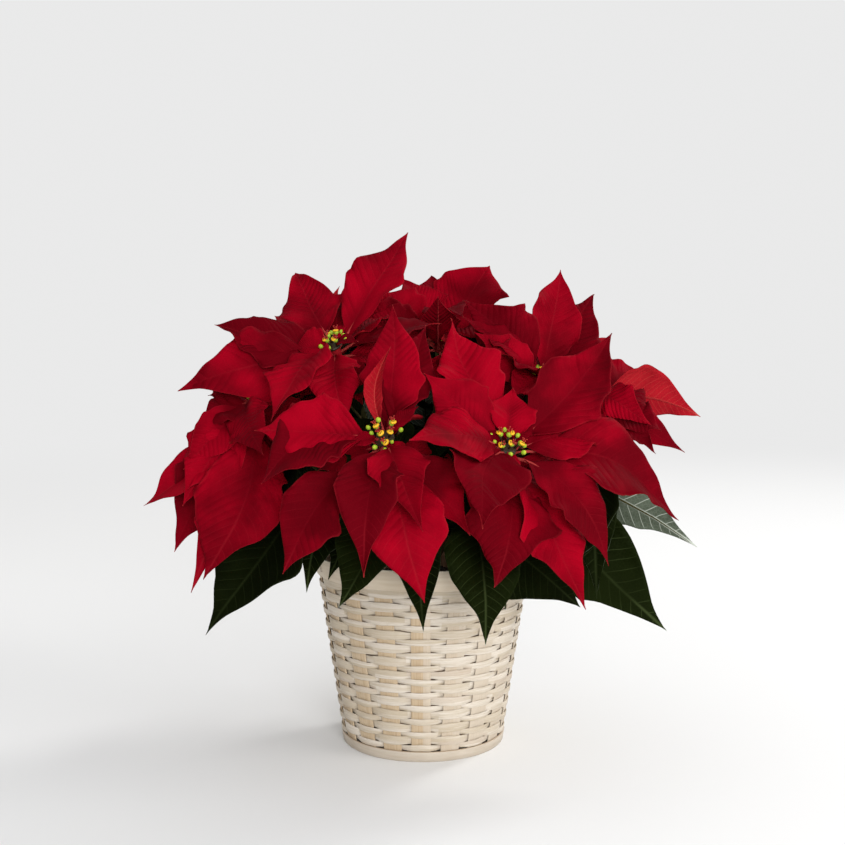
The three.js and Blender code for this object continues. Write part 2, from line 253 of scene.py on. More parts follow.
# ---------------------------------------------------------------- basket: woven splint wall
# Eighteen upright stakes of split wood, tan and plainly grained, with flat whitewashed splints
# woven round them one over and one under, each row starting a stake further on than the last.
def surface(graph, shader, colour, roughness, height, strength, depth):
    """Gives a shader its colour, its roughness, and a fine relief of this height."""
    graph.feed(shader.inputs["Base Color"], colour)
    graph.feed(shader.inputs["Roughness"], roughness)
    bump = graph.node("ShaderNodeBump", Strength=strength, Distance=depth, Height=height)
    graph.feed(shader.inputs["Normal"], bump.outputs[0])


def form_tree(name, numbers):
    """A Geometry Nodes tree with named number inputs: its graph and its inputs as values."""
    tree = bpy.data.node_groups.new(name, "GeometryNodeTree")
    tree.interface.new_socket(name="Geometry", in_out="OUTPUT", socket_type="NodeSocketGeometry")
    for number in numbers:
        tree.interface.new_socket(name=number, in_out="INPUT", socket_type="NodeSocketFloat")
    inlet = tree.nodes.new("NodeGroupInput")
    graph = Graph(tree)
    return graph, {number: Value(graph, inlet.outputs[number]) for number in numbers}


def close_tree(graph, geometry, material):
    """Ends a tree in Realize Instances and Set Material."""
    real = graph.value("GeometryNodeRealizeInstances", s0=geometry)
    dressed = graph.value("GeometryNodeSetMaterial", Geometry=real, Material=material)
    graph.feed(graph.tree.nodes.new("NodeGroupOutput").inputs["Geometry"], dressed)


def grow(name, graph, sizes):
    """Runs a tree on an empty object with these sizes, and keeps the result as a plain mesh."""
    thing = mesh_object(name, [], [])
    form = thing.modifiers.new("form", "NODES")
    form.node_group = graph.tree
    for socket in graph.tree.interface.items_tree:
        if socket.in_out == "INPUT":
            form[socket.identifier] = sizes[socket.name]
    shown = thing.evaluated_get(bpy.context.evaluated_depsgraph_get())
    mesh = bpy.data.meshes.new_from_object(shown)
    thing.modifiers.remove(form)
    thing.data = mesh
    mesh.name = name
    return thing


def splint_profile(graph, height, thickness):
    """A flat splint's section with softly rounded edges, its height along Y."""
    box = graph.value("GeometryNodeCurvePrimitiveQuadrilateral", {"mode": "RECTANGLE"},
                      Width=thickness, Height=height)
    return graph.value("GeometryNodeFilletCurve", {"mode": "POLY"}, Curve=box, Count=2,
                       Radius=thickness * 0.42)


stake_count = 18
first_stake = math.radians(-91.4)
row_count = 24
wall_foot_radius = 64.0
wall_top_radius = 84.6
wall_foot = 8.8
wall_top = 140.7
row_pitch = (wall_top - wall_foot) / row_count
wall_lean = (wall_top_radius - wall_foot_radius) / wall_top
path_radius = (wall_foot_radius + 0.3) * MM


def splint_finish(name, upright, pale, deep, bare):
    """Split wood: grain along the splint, tone by row and by crossing, thin places in the wash."""
    graph, shader, material = finish(name)
    x, y, z = graph.parts(graph.place())
    turn = graph.maths("ARCTAN2", y, x)
    if upright:
        strip = graph.maths("FLOOR", turn * (stake_count / math.tau) + 0.5)
        grain = graph.vector(turn * 60, z * 9, 0.0)
        fine = graph.noise(graph.vector(turn * 210, z * 30, 0.0), 1.0, 3.0)
    else:
        row = graph.maths("FLOOR", z / (row_pitch * MM))
        strip = row * 7.3 + graph.maths("FLOOR", turn * (stake_count / 2 / math.tau) + row * 0.5)
        grain = graph.vector(turn * 3.2, z * 900, row)
        fine = graph.noise(graph.vector(turn * 14, z * 3200, row), 1.0, 3.0)
    streak = graph.noise(grain, 1.0, 4.0, 0.6)
    tone = graph.value("ShaderNodeTexWhiteNoise", {"noise_dimensions": "1D"}, W=strip)
    wash = graph.smooth(streak * 0.8 + tone * 0.35, 0.35, 0.85)
    colour = graph.mix(wash, deep, pale)
    if upright:
        chalk = (0.52, 0.46, 0.38)
        colour = graph.mix(graph.smooth(tone, 0.2, 0.5, 0.75, 0.0), colour, chalk)
    colour = graph.mix(graph.smooth(tone, 0.82, 0.98) * 0.45, colour, bare)
    colour = graph.mix(graph.smooth(fine, 0.56, 0.70) * 0.35, colour, bare)
    surface(graph, shader, colour, 0.55 + streak * 0.2, streak + fine * 0.6, 0.35, 0.4 * MM)
    return material


weaver_wood = splint_finish("whitewashed_splint", False, pale=(0.61, 0.55, 0.475),
                            deep=(0.445, 0.37, 0.27), bare=(0.33, 0.23, 0.14))
stake_wood = splint_finish("tan_stake", True, pale=(0.52, 0.415, 0.285),
                           deep=(0.40, 0.285, 0.17), bare=(0.235, 0.135, 0.065))

rows, size = form_tree("woven_rows", [
    "Rows", "Stakes", "Turn", "Foot", "Pitch", "Foot radius", "Lean", "Weave depth",
    "Splint height", "Splint thickness", "Narrow"])
stakes = size["Stakes"]
hoops = rows.value("GeometryNodeCurvePrimitiveCircle", {"mode": "RADIUS"},
                   Resolution=stakes * 14, Radius=1.0)
laid = rows.value("GeometryNodeInstanceOnPoints", Points=rows.spots(size["Rows"]), Instance=hoops)
loose = rows.value("GeometryNodeRealizeInstances", s0=rows.store(laid, "row", rows.index()))
row = rows.recall("row")
x, y, z = rows.parts(rows.value("GeometryNodeInputPosition"))
turn = rows.maths("ARCTAN2", y, x)
parity = rows.maths("MODULO", row, 2.0)
phase = (turn - size["Turn"]) * stakes * 0.5 + parity * math.pi
swing = rows.maths("COSINE", phase)
crossing = rows.maths("SIGN", swing) * rows.maths("ABSOLUTE", swing) ** 0.75
wander = rows.noise(rows.vector(turn * 2.3, row * 5.1, 0.0), 1.3, 2.0)
height = size["Foot"] + (row + 0.5) * size["Pitch"] + (wander - 0.5) * size["Pitch"] * 0.55
radius = size["Foot radius"] + height * size["Lean"] + crossing * size["Weave depth"]
lift = rows.noise(rows.vector(turn * 4.0, row * 3.7, 9.0), 1.0, 1.0)
radius = radius + (lift - 0.5) * size["Weave depth"] * 0.5
bent = rows.move(loose, rows.polar(turn, radius, height))
upright = rows.value("GeometryNodeSetCurveNormal", {"mode": "Z_UP"}, Curve=bent)
tilted = rows.value("GeometryNodeSetCurveTilt", Curve=upright,
                    Tilt=rows.maths("ARCTANGENT", size["Lean"]) + (wander - 0.5) * 0.25)
belly = (size["Narrow"] + (1 - size["Narrow"]) * parity) * (0.80 + crossing * 0.15 + wander * 0.14)
section = splint_profile(rows, size["Splint height"], size["Splint thickness"])
swept = rows.value("GeometryNodeCurveToMesh", Curve=tilted, Profile_Curve=section, Scale=belly)
close_tree(rows, swept, weaver_wood)
weavers = grow("basket_weavers", rows, {
    "Rows": row_count, "Stakes": stake_count, "Turn": first_stake, "Foot": wall_foot * MM,
    "Pitch": row_pitch * MM, "Foot radius": path_radius, "Lean": wall_lean,
    "Weave depth": 1.5 * MM, "Splint height": 7.5 * MM, "Splint thickness": 1.2 * MM,
    "Narrow": 0.68})

ribs, size = form_tree("upright_stakes", [
    "Stakes", "Turn", "Foot", "Pitch", "Length", "Foot radius", "Lean", "Give", "Stake width",
    "Stake thickness"])
post = ribs.value("GeometryNodeCurvePrimitiveLine", End=ribs.vector(0.0, 0.0, size["Length"]))
post = ribs.value("GeometryNodeResampleCurve", Curve=post, Count=100)
laid = ribs.value("GeometryNodeInstanceOnPoints", Points=ribs.spots(size["Stakes"]), Instance=post)
loose = ribs.value("GeometryNodeRealizeInstances", s0=ribs.store(laid, "stake", ribs.index()))
stake = ribs.recall("stake")
x, y, z = ribs.parts(ribs.value("GeometryNodeInputPosition"))
turn = size["Turn"] + stake * math.tau / size["Stakes"]
push = ribs.maths("COSINE", ((z - size["Foot"]) / size["Pitch"] - 0.5 + stake) * math.pi)
radius = size["Foot radius"] + z * size["Lean"] - push * size["Give"]
bent = ribs.move(loose, ribs.polar(turn, radius, z))
faced = ribs.value("GeometryNodeSetCurveNormal", {"mode": "FREE"}, Curve=bent,
                   Normal=ribs.polar(turn, 1.0, 0.0))
section = splint_profile(ribs, size["Stake width"], size["Stake thickness"])
swept = ribs.value("GeometryNodeCurveToMesh", Curve=faced, Profile_Curve=section, Fill_Caps=True)
close_tree(ribs, swept, stake_wood)
uprights = grow("basket_stakes", ribs, {
    "Stakes": stake_count, "Turn": first_stake, "Foot": wall_foot * MM, "Pitch": row_pitch * MM,
    "Length": 155 * MM, "Foot radius": path_radius, "Lean": wall_lean, "Give": 0.25 * MM,
    "Stake width": 15.2 * MM, "Stake thickness": 1.0 * MM})
for piece in (weavers, uprights):
    smooth_all(piece.data)
    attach(piece, "root")
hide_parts("basket_weave")


# ---------------------------------------------------------------- basket: collar, hoop and floor
# A plain band of thin wood bent round the rim and stapled at its lap, a narrower band round the
# foot, and a thin wooden disc for the floor.
def turned(name, profile):
    """A body turned about Z from a closed or axis-to-axis profile of (radius, height) in mm."""
    segments = 144
    count = len(profile)
    points = []
    faces = []
    for k in range(segments):
        angle = math.tau * k / segments
        points += [(r * MM * math.cos(angle), r * MM * math.sin(angle), h * MM) for r, h in profile]
    for k in range(segments):
        near = k * count
        far = (k + 1) % segments * count
        faces += [(near + j, far + j, far + j + 1, near + j + 1) for j in range(count - 1)]
    body = mesh_object(name, points, faces)
    work = bmesh.new()
    work.from_mesh(body.data)
    bmesh.ops.remove_doubles(work, verts=work.verts, dist=1e-6)
    bmesh.ops.dissolve_degenerate(work, edges=work.edges, dist=1e-7)
    bmesh.ops.recalc_face_normals(work, faces=work.faces)
    work.to_mesh(body.data)
    work.free()
    smooth_all(body.data)
    return body


def band_profile(foot, top, foot_radius, top_radius, thickness):
    """A bent band's section with eased edges, outer face first."""
    ease = 0.5
    middle = (foot + top) / 2

    def outer(h):
        return foot_radius + (top_radius - foot_radius) / (top - foot) * (h - foot)

    return [
        (outer(foot) - thickness + ease, foot), (outer(foot) - ease, foot),
        (outer(foot + ease), foot + ease), (outer(middle) + 0.1, middle),
        (outer(top - ease), top - ease), (outer(top) - ease, top),
        (outer(top) - thickness + ease, top), (outer(top - ease) - thickness, top - ease),
        (outer(foot + ease) - thickness, foot + ease), (outer(foot) - thickness + ease, foot)]


def band_wood(name, pale, deep, edge, edge_height):
    """Thin bent wood with a light wash: long grain round the band, a warmer cut edge on top."""
    graph, shader, material = finish(name)
    x, y, z = graph.parts(graph.place())
    turn = graph.maths("ARCTAN2", y, x)
    streak = graph.noise(graph.vector(turn * 2.2, z * 420, 0.0), 1.0, 5.0, 0.6)
    fine = graph.noise(graph.vector(turn * 9.0, z * 2600, 3.0), 1.0, 3.0)
    patch = graph.noise(graph.vector(turn * 3.0, z * 25, 5.0), 1.0, 2.0)
    colour = graph.mix(graph.smooth(streak * 0.7 + patch * 0.4, 0.35, 0.75), deep, pale)
    colour = graph.mix(graph.smooth(fine, 0.58, 0.72) * 0.3, colour, edge)
    colour = graph.mix(graph.smooth(z, edge_height - 0.0005, edge_height), colour, edge)
    surface(graph, shader, colour, 0.5 + streak * 0.2, streak + fine * 0.5, 0.25, 0.3 * MM)
    return material


collar_foot, collar_top = 141.0, 158.0
hoop_top = 8.5
collar_wood = band_wood("collar_wood", pale=(0.60, 0.52, 0.41), deep=(0.52, 0.425, 0.31),
                        edge=(0.63, 0.56, 0.44), edge_height=(collar_top - 0.8) * MM)
hoop_wood = band_wood("hoop_wood", pale=(0.49, 0.43, 0.355), deep=(0.425, 0.355, 0.275),
                      edge=(0.35, 0.26, 0.175), edge_height=(hoop_top - 0.1) * MM)
collar = turned("basket_collar_band", band_profile(collar_foot, collar_top, 87.8, 92.5, 2.1))
foot_hoop = turned("basket_foot_band", band_profile(0.0, hoop_top, 66.5, 67.8, 1.9))
collar.data.materials.append(collar_wood)
foot_hoop.data.materials.append(hoop_wood)
for piece, node in ((collar, "basket_collar"), (foot_hoop, "basket_foot_hoop")):
    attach(piece, "root")
    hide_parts(node)

floor_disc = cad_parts["basket_floor"]
floor_disc.data.materials.clear()
floor_disc.data.materials.append(hoop_wood)

staple_turn = math.radians(206)
staple_radius, staple_height = 90.6, 150.5
staple_out = Vector((math.cos(staple_turn), math.sin(staple_turn), 0))
staple_centre = staple_out * staple_radius * MM + Vector((0, 0, staple_height * MM))
wire = bpy.data.curves.new("collar_staple", "CURVE")
wire.dimensions = "3D"
wire.bevel_depth = 0.45 * MM
wire.bevel_resolution = 3
wire.use_fill_caps = True
bend = wire.splines.new("POLY")
bend.points.add(3)
for point, (out, up) in zip(bend.points, [(-1.2, -3.2), (0.2, -3.0), (0.4, 3.0), (-0.8, 3.2)]):
    point.co = (*(staple_centre + staple_out * out * MM + Vector((0, 0, up * MM))), 1)
wire_object = bpy.data.objects.new("collar_staple", wire)
bpy.context.scene.collection.objects.link(wire_object)
shown = wire_object.evaluated_get(bpy.context.evaluated_depsgraph_get())
staple_mesh = bpy.data.meshes.new_from_object(shown)
bpy.data.objects.remove(wire_object)
staple = bpy.data.objects.new("basket_collar_staple", staple_mesh)
bpy.context.scene.collection.objects.link(staple)
graph, shader, staple_wire = finish("dull_wire")
speck = graph.noise(graph.place(), 900.0)
graph.feed(shader.inputs["Base Color"], graph.mix(speck, (0.30, 0.24, 0.18), (0.45, 0.40, 0.34)))
graph.feed(shader.inputs["Roughness"], 0.35 + speck * 0.3)
shader.inputs["Metallic"].default_value = 0.8
staple.data.materials.append(staple_wire)
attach(staple, "root")


# ---------------------------------------------------------------- grower's pot
# A thin moulded pot with a rolled lip, dropped into the basket and hidden by it but for its rim.
pot = turned("grower_pot_shell", [
    (0.0, 4.3), (52.5, 4.3), (54.0, 5.6), (65.2, 71.0), (76.8, 138.0), (79.2, 138.4),
    (79.6, 139.2), (79.6, 145.2), (79.0, 146.3), (77.2, 146.3), (76.4, 145.4), (75.4, 138.2),
    (63.6, 71.0), (52.4, 6.6), (51.0, 5.9), (0.0, 5.9)])
graph, shader, pot_plastic = finish("pot_plastic")
place = graph.place()
x, y, z = graph.parts(place)
scuff = graph.noise(place, 60.0, 4.0)
dust = graph.smooth(graph.noise(graph.vector(x * 40, y * 40, z * 12), 1.0, 3.0), 0.5, 0.75)
colour = graph.mix(dust * 0.5, (0.30, 0.15, 0.085), (0.36, 0.21, 0.13))
surface(graph, shader, colour, 0.42 + scuff * 0.25, scuff, 0.1, 0.2 * MM)
pot.data.materials.append(pot_plastic)
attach(pot, "root")
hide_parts("grower_pot")


# ---------------------------------------------------------------- soil
# Dark peat compost a little below the pot's lip, mounded to the stem, with loose crumbs lying on
# it. It is pressed in by hand round the roots.
soil_top = 131.0
soil_fall = 0.045
stem_hole = 8.3
soil_radius = 73.6


def soil_height(r, angle):
    waves = math.sin(angle * 5 + r * 0.2) * 0.5 + math.sin(angle * 11 - r * 0.31) * 0.35
    return soil_top - r * soil_fall + waves * min(1.0, r / 20) * (1 if r < 68 else 0.3)


rings, spokes = 26, 96
spoke_turns = np.linspace(0, math.tau, spokes + 1)[:-1]
soil_points = []
soil_faces = []
for k in range(rings + 1):
    r = stem_hole + (soil_radius - stem_hole) * k / rings
    soil_points += [(r * MM * math.cos(a), r * MM * math.sin(a), soil_height(r, a) * MM)
                    for a in spoke_turns]
for k in range(rings):
    near, far = k * spokes, (k + 1) * spokes
    soil_faces += [(near + j, far + j, far + (j + 1) % spokes, near + (j + 1) % spokes)
                   for j in range(spokes)]
for r, h, ring_of in ((53.0, 7.0, rings), (stem_hole, 97.5, 0)):
    start = len(soil_points)
    soil_points += [(r * MM * math.cos(a), r * MM * math.sin(a), h * MM) for a in spoke_turns]
    for j in range(spokes):
        k = (j + 1) % spokes
        wall = [ring_of * spokes + j, start + j, start + k, ring_of * spokes + k]
        soil_faces.append(tuple(wall if ring_of else reversed(wall)))
    centre = len(soil_points)
    soil_points.append((0, 0, h * MM))
    for j in range(spokes):
        k = (j + 1) % spokes
        fan = (start + k, start + j) if ring_of else (start + j, start + k)
        soil_faces.append((centre, *fan))
compost = mesh_object("soil_bed", soil_points, soil_faces)
graph, shader, peat = finish("peat")
place = graph.place()
clod = graph.noise(place, 260.0, 5.0, 0.65)
grit = graph.value("ShaderNodeTexVoronoi", {"feature": "F1"}, Vector=place, Scale=700.0)
colour = graph.mix(graph.smooth(clod, 0.35, 0.7), (0.018, 0.012, 0.009), (0.075, 0.052, 0.038))
surface(graph, shader, colour, 0.85 + clod * 0.1, clod + grit * 0.4, 0.9, 2 * MM)
compost.data.materials.append(peat)
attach(compost, "root")
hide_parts("soil")

crumbs, size = form_tree("soil_crumbs", [
    "Count", "Crumb size", "Inner", "Outer", "Surface", "Fall"])
reach = size["Inner"] + (size["Outer"] - size["Inner"]) * crumbs.chance(3) ** 0.5
surface_height = size["Surface"] - reach * size["Fall"]
spots = crumbs.move(crumbs.spots(size["Count"]),
                    crumbs.polar(crumbs.chance(7) * math.tau, reach, surface_height))
clump = crumbs.value("GeometryNodeMeshIcoSphere", Radius=0.5, Subdivisions=1)
wide = size["Crumb size"] * (0.4 + crumbs.chance(11) * 1.3)
tumble = crumbs.vector(crumbs.chance(13) * 6, crumbs.chance(17) * 6, crumbs.chance(19) * 6)
scattered = crumbs.value("GeometryNodeInstanceOnPoints", Points=spots, Instance=clump,
                         Rotation=tumble, Scale=crumbs.vector(wide, wide * 0.8, wide * 0.6))
close_tree(crumbs, scattered, peat)
peat_crumbs = grow("soil_crumbs", crumbs, {
    "Count": 900, "Crumb size": 3.0 * MM, "Inner": 10 * MM, "Outer": 72 * MM,
    "Surface": (soil_top + 0.2) * MM, "Fall": soil_fall})
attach(peat_crumbs, "root")


# ---------------------------------------------------------------- the plant's build
# Ten heads on one branched stem. A head is its cyathia's place, the way it faces, and its bracts;
# a blade's row is its tip, width and arch in mm, and what sets it apart from a plain blade.
# A tone in a row overrides the blade's chance tone, darker below 0 and lighter above: partly the
# bract's own red, partly painted shade on bracts in shade and painted light on bracts facing the
# light.
heads = [
    ((-72, -60, 334), (-0.35, -0.4, 0.85), [
        (-185, -85, 295, 60, 12, dict(roll=-50, sweep=-4)),
        (-108, -140, 280, 54, 13, {}),
        (-56, -135, 272, 46, 12, {}),
        (14, -55, 345, 46, 6, dict(peak=0.55)),
        (-125, 20, 348, 40, 8, {}),
        (-11, -20, 417, 47, 6, dict(peak=0.5, sweep=-3, roll=20)),
        (-162, -50, 346, 52, 8, dict(roll=-15, sweep=12)),
        (-103, 5, 388, 50, 6, dict(peak=0.42, sweep=3)),
    ]),
    ((-28, -160, 271), (-0.1, -0.75, 0.65), [
        (-2, -215, 163, 66, 16, dict(peak=0.52, tone=0.5)),
        (34, -185, 205, 44, 8, {}),
        (-97, -190, 177, 45, 14, dict(sweep=-4, peak=0.62, stem=0.26)),
        (-111, -178, 236, 62, 8, dict(sweep=-20, peak=0.56, tone=-1.0)),
        (-20, -130, 360, 46, -6, dict(sweep=-1)),
        (-42, -225, 183, 48, 16, dict(fold=22, peak=0.42)),
        (-2, -215, 210, 42, 12, dict(peak=0.42)),
        (2, -103, 346, 38, 1, dict(sweep=-2)),
        (-22, -152, 331, 19, -3, dict(fold=38, sweep=11, turned=True)),
    ]),
    ((61, -150, 263), (0.2, -0.72, 0.66), [
        (51, -190, 167, 62, 5, dict(sweep=6, wild=1.7)),
        (113, -175, 148, 46, 9, {}),
        (133, -160, 178, 50, 20, dict(sweep=5)),
        (190, -110, 201, 60, 20, dict(peak=0.46, sweep=12, tone=-0.5)),
        (139, -105, 264, 48, 10, {}),
        (143, -90, 340, 56, 4, dict(peak=0.46, sweep=-7, tone=-0.3)),
        (20, -95, 350, 54, 2, dict(sweep=5, wild=1.5)),
        (-10, -195, 271, 50, 8, dict(sweep=-4, tone=0.6)),
        (42, -215, 212, 62, 12, dict(peak=0.44, sweep=-12, tone=-0.8)),
        (0, -140, 311, 44, 4, dict(roll=-20)),
    ]),
    ((97, -50, 306), (0.4, -0.3, 0.87), [
        (155, 20, 331, 40, 8, {}),
        (125, -95, 292, 42, 8, {}),
        (139, 10, 369, 52, 3, {}),
        (112, -8, 388, 48, 1, dict(peak=0.54, tone=0.1)),
        (30, -50, 362, 52, 4, dict(roll=-60, sweep=-8)),
        (50, -82, 325, 44, 7, {}),
    ]),
    ((140, -5, 286), (0.65, -0.35, 0.65), [
        (182, -60, 245, 46, 10, dict(roll=40)),
        (209, -30, 242, 34, 10, dict(roll=45)),
        (230, 20, 265, 56, 6, dict(roll=-95, sweep=-12, peak=0.42)),
        (188, -50, 262, 50, 6, dict(roll=45)),
        (190, 60, 300, 46, 8, {}),
    ]),
    ((-136, -75, 285), (-0.5, -0.62, 0.6), [
        (-156, -140, 163, 72, 14, dict(roll=-25, sweep=15, peak=0.58, tone=0.3)),
        (-168, -138, 153, 34, 10, dict(roll=-25, sweep=4)),
        (-186, -100, 174, 54, 5, dict(roll=-30, sweep=-5)),
        (-216, -70, 206, 48, 10, dict(sweep=18)),
        (-172, 10, 250, 44, 10, {}),
        (-180, -110, 212, 50, 14, dict(roll=-35)),
        (-178, -104, 238, 36, 10, dict(roll=-36, over=True)),
        (-116, -136, 252, 42, 10, dict(over=True)),
    ]),
    ((14, 8, 338), (0.05, -0.35, 0.93), [
        (-46, 6, 372, 56, 2, dict(roll=-45)),
        (12, -44, 366, 34, -5, dict(turned=True, peak=0.55)),
        (62, -42, 345, 48, 6, dict(wild=1.5)),
        (84, 10, 352, 46, 7, {}),
        (57, 42, 392, 72, 2, dict(peak=0.62)),
        (6, 62, 384, 56, 4, dict(peak=0.55)),
    ]),
    ((-95, 75, 305), (-0.55, 0.5, 0.67), [
        (-165, 110, 245, 52, 16, {}),
        (-110, 150, 240, 52, 16, {}),
        (-170, 55, 295, 48, 10, {}),
        (-50, 150, 290, 48, 10, {}),
        (-75, 85, 375, 44, -3, dict(peak=0.6)),
    ]),
    ((5, 125, 290), (0, 0.75, 0.66), [
        (10, 210, 205, 58, 16, {}),
        (-55, 185, 235, 52, 14, {}),
        (70, 180, 235, 52, 14, {}),
        (-62, 140, 312, 44, 6, {}),
        (60, 135, 335, 42, -2, dict(peak=0.6)),
        (0, 105, 375, 46, -6, dict(peak=0.6)),
    ]),
    ((100, 85, 300), (0.55, 0.5, 0.67), [
        (160, 130, 230, 54, 8, {}),
        (175, 70, 245, 50, 14, {}),
        (105, 155, 250, 50, 20, {}),
        (75, 150, 325, 42, -2, dict(peak=0.6)),
        (80, 62, 356, 44, -3, dict(peak=0.6)),
    ]),
]
hub_length = 12.0
hub_radius = 4.2
hub_drop = 13.0
bract_spacing = 9.0
fit_gap = 0.3


def unit(vector):
    vector = np.asarray(vector, float)
    return vector / np.linalg.norm(vector)


def head_frame(head):
    """The way a head faces, and the middle of the hub that its bracts spring from."""
    aim = unit(head[1])
    return aim, np.array(head[0], float) - aim * hub_drop


def around(aim, turn):
    """A direction square to aim, turned this far about it."""
    level = unit(np.cross(aim, [0.3, 1.0, 0.2]))
    return level * math.cos(turn) + np.cross(aim, level) * math.sin(turn)


def outline(t, peak, stem):
    """Share of the half width along a blade: a stalk, a broad shoulder and a drawn-out tip."""
    before = [stem + (peak - stem) * s for s in (0, 0.42, 1)]
    after = [peak + (1 - peak) * s for s in (0.30, 0.55, 0.76, 0.90, 1)]
    fine = np.linspace(-0.2, 1.2, 281)
    share = np.interp(fine, before + after, [0.03, 0.66, 1.04, 0.87, 0.53, 0.20, 0.065, 0.0])
    window = np.hanning(15)
    soft = np.convolve(share, window / window.sum(), "same")
    return np.interp(t, fine, soft) * np.clip((1 - t) / 0.04, 0, 1) ** 0.6


class Sheets:
    """Blades gathered into one mesh: a thin leaf with its two faces, and its rib and stalk."""

    traits = ("tone", "under", "stalk", "edge")

    def __init__(self):
        self.points, self.faces, self.uv, self.values = [], [], [], []
        self.count = 0

    def add(self, points, faces, uv, **values):
        self.points.append(np.asarray(points) * MM)
        self.faces += [tuple(i + self.count for i in face) for face in faces]
        self.uv.append(uv)
        self.values.append(np.column_stack(
            [np.broadcast_to(values.get(k, 0.0), len(points)) for k in self.traits]))
        self.count += len(points)

    def blade(self, base, aim, row, seed, steps=36, across=14, stalk_radius=1.15, wild=1.0):
        """One leaf from its base in mm to its row's tip, facing aim, with a margin all its own."""
        x, y, z, width, arch, shape = row
        roll = math.radians(shape.get("roll", 0))
        fold = math.radians(shape.get("fold", 14))
        sweep = shape.get("sweep", 0)
        peak = shape.get("peak", 0.48)
        stem = shape.get("stem", 0.12)
        wild = shape.get("wild", wild)
        thickness = 0.45
        blade_start = 0.10
        draw = np.random.RandomState(seed)
        crimp = np.random.RandomState(seed + 90000)
        along = np.array([x, y, z], float) - base
        length = np.linalg.norm(along)
        along /= length
        face = unit(aim - along * (aim @ along))
        face = face * math.cos(roll) + np.cross(along, face) * math.sin(roll)
        side = np.cross(face, along)

        t = np.linspace(blade_start, 1, steps + 1)[:, None]
        s = np.linspace(-1, 1, across + 1)[None, :]
        half = outline(t, peak, stem) * width / 2
        fade = np.clip(np.sin(math.pi * t), 0, 1) ** 0.5
        reach = np.ones_like(t * s)
        rise = np.zeros_like(t * s)
        for sign in (-1, 1):
            here = s * sign > 0
            turns, start = draw.uniform(1.2, 2.6), draw.uniform(0, 1)
            edge = (draw.uniform(0.86, 1.02)
                    + draw.uniform(0.02, 0.06) * np.sin(math.tau * (turns * t + start)))
            for _ in range(draw.randint(1, 4)):
                corner, spread = draw.uniform(0.30, 0.70), draw.uniform(0.04, 0.09)
                point = np.clip(1 - np.abs(t - corner) / spread, 0, 1)
                edge = edge + draw.uniform(0.06, 0.20) * wild * point
            reach = np.where(here, 1 + (edge - 1) * np.abs(s) ** 2, reach)
            wing = math.sin(fold + math.radians(draw.uniform(-7, 9) * wild)) * 1.35
            cup = draw.uniform(0.0, 0.26) * wild
            wave = (width * draw.uniform(0.03, 0.08) * wild
                    * np.sin(math.tau * (turns * t + start + 0.3)))
            wave = wave + width * 0.012 * np.sin(math.tau * (turns * 3.1 * t + start))
            lip_mid, lip = draw.uniform(0.35, 0.75), width * draw.uniform(-0.085, 0.06) * wild
            lip = lip * np.exp(-((t - lip_mid) / 0.16) ** 2)
            slope = np.sqrt(s ** 2 + 0.010) - 0.10
            wings = half * (slope * wing - cup * s ** 2)
            lip_share = np.clip((np.abs(s) - 0.6) / 0.4, 0, 1) ** 2
            wings = wings + (wave * np.abs(s) ** 1.7 + lip * lip_share) * fade
            ruffle = (width * crimp.uniform(0.010, 0.042) * wild
                      * np.sin(math.tau * (crimp.uniform(3.5, 6) * t + start)))
            wings = wings + ruffle * np.abs(s) ** 2.5 * fade
            for _ in range(crimp.randint(2, 5)):
                fold_at = crimp.uniform(0.15, 0.6)
                depth = width * crimp.uniform(-0.058, 0.058) * wild
                across_fold = np.exp(-((t - fold_at - np.abs(s) * 0.16) / 0.045) ** 2)
                wings = wings + depth * across_fold * np.clip(np.abs(s) * 2.2, 0, 1) * fade
            rise = np.where(here, wings, rise)
        buckle = (width * draw.uniform(0.0, 0.05) * wild
                  * np.sin(math.tau * (1.4 * t + draw.uniform(0, 1))))
        rise = (rise + buckle * fade
                - draw.uniform(-0.1, 0.5) * length * np.clip(t - 0.72, 0, 1) ** 2)
        swing = math.radians(draw.uniform(-16, 16) * wild) * (t - 0.35)
        lateral = half * s * math.cos(fold) * reach
        drift = draw.uniform(-0.12, 0.12) * wild * length * np.clip(t - 0.74, 0, 1)
        out = arch * np.sin(math.pi * t ** 0.8) + rise * np.cos(swing) + lateral * np.sin(swing)
        over = sweep * np.sin(math.pi * t) + drift + lateral * np.cos(swing) - rise * np.sin(swing)
        grid = (base + along * (t * length)[..., None] + face * out[..., None]
                + side * over[..., None])
        normal = np.cross(np.gradient(grid, axis=1), np.gradient(grid, axis=0))
        size = np.linalg.norm(normal, axis=2, keepdims=True)
        normal = np.where(size > 1e-9, normal / np.maximum(size, 1e-9), face)
        if normal[steps // 2, across // 2] @ face < 0:
            normal = -normal

        wide, n = across + 1, (steps + 1) * (across + 1)
        top = (grid + normal * thickness / 2).reshape(-1, 3)
        low = (grid - normal * thickness / 2).reshape(-1, 3)
        faces = []
        for i in range(steps):
            for j in range(across):
                a = i * wide + j
                faces.append((a, a + wide, a + wide + 1, a + 1))
                faces.append((n + a, n + a + 1, n + a + wide + 1, n + a + wide))
        loop = [i * wide for i in range(steps + 1)]
        loop += [steps * wide + j for j in range(1, wide)]
        loop += [i * wide + across for i in range(steps - 1, -1, -1)]
        loop += list(range(across - 1, 0, -1))
        faces += [(a, n + a, n + b, b) for a, b in zip(loop, loop[1:] + loop[:1])]
        flat = np.column_stack([np.broadcast_to(t, reach.shape).ravel(),
                                (0.5 + half * s / length).ravel()])
        rim = np.broadcast_to(np.abs(s), reach.shape).ravel()
        # A tone from the row is partly the blade's own depth of colour and partly painted shade and
        # painted light.
        tone = shape.get("tone", draw.uniform(-1, 1))
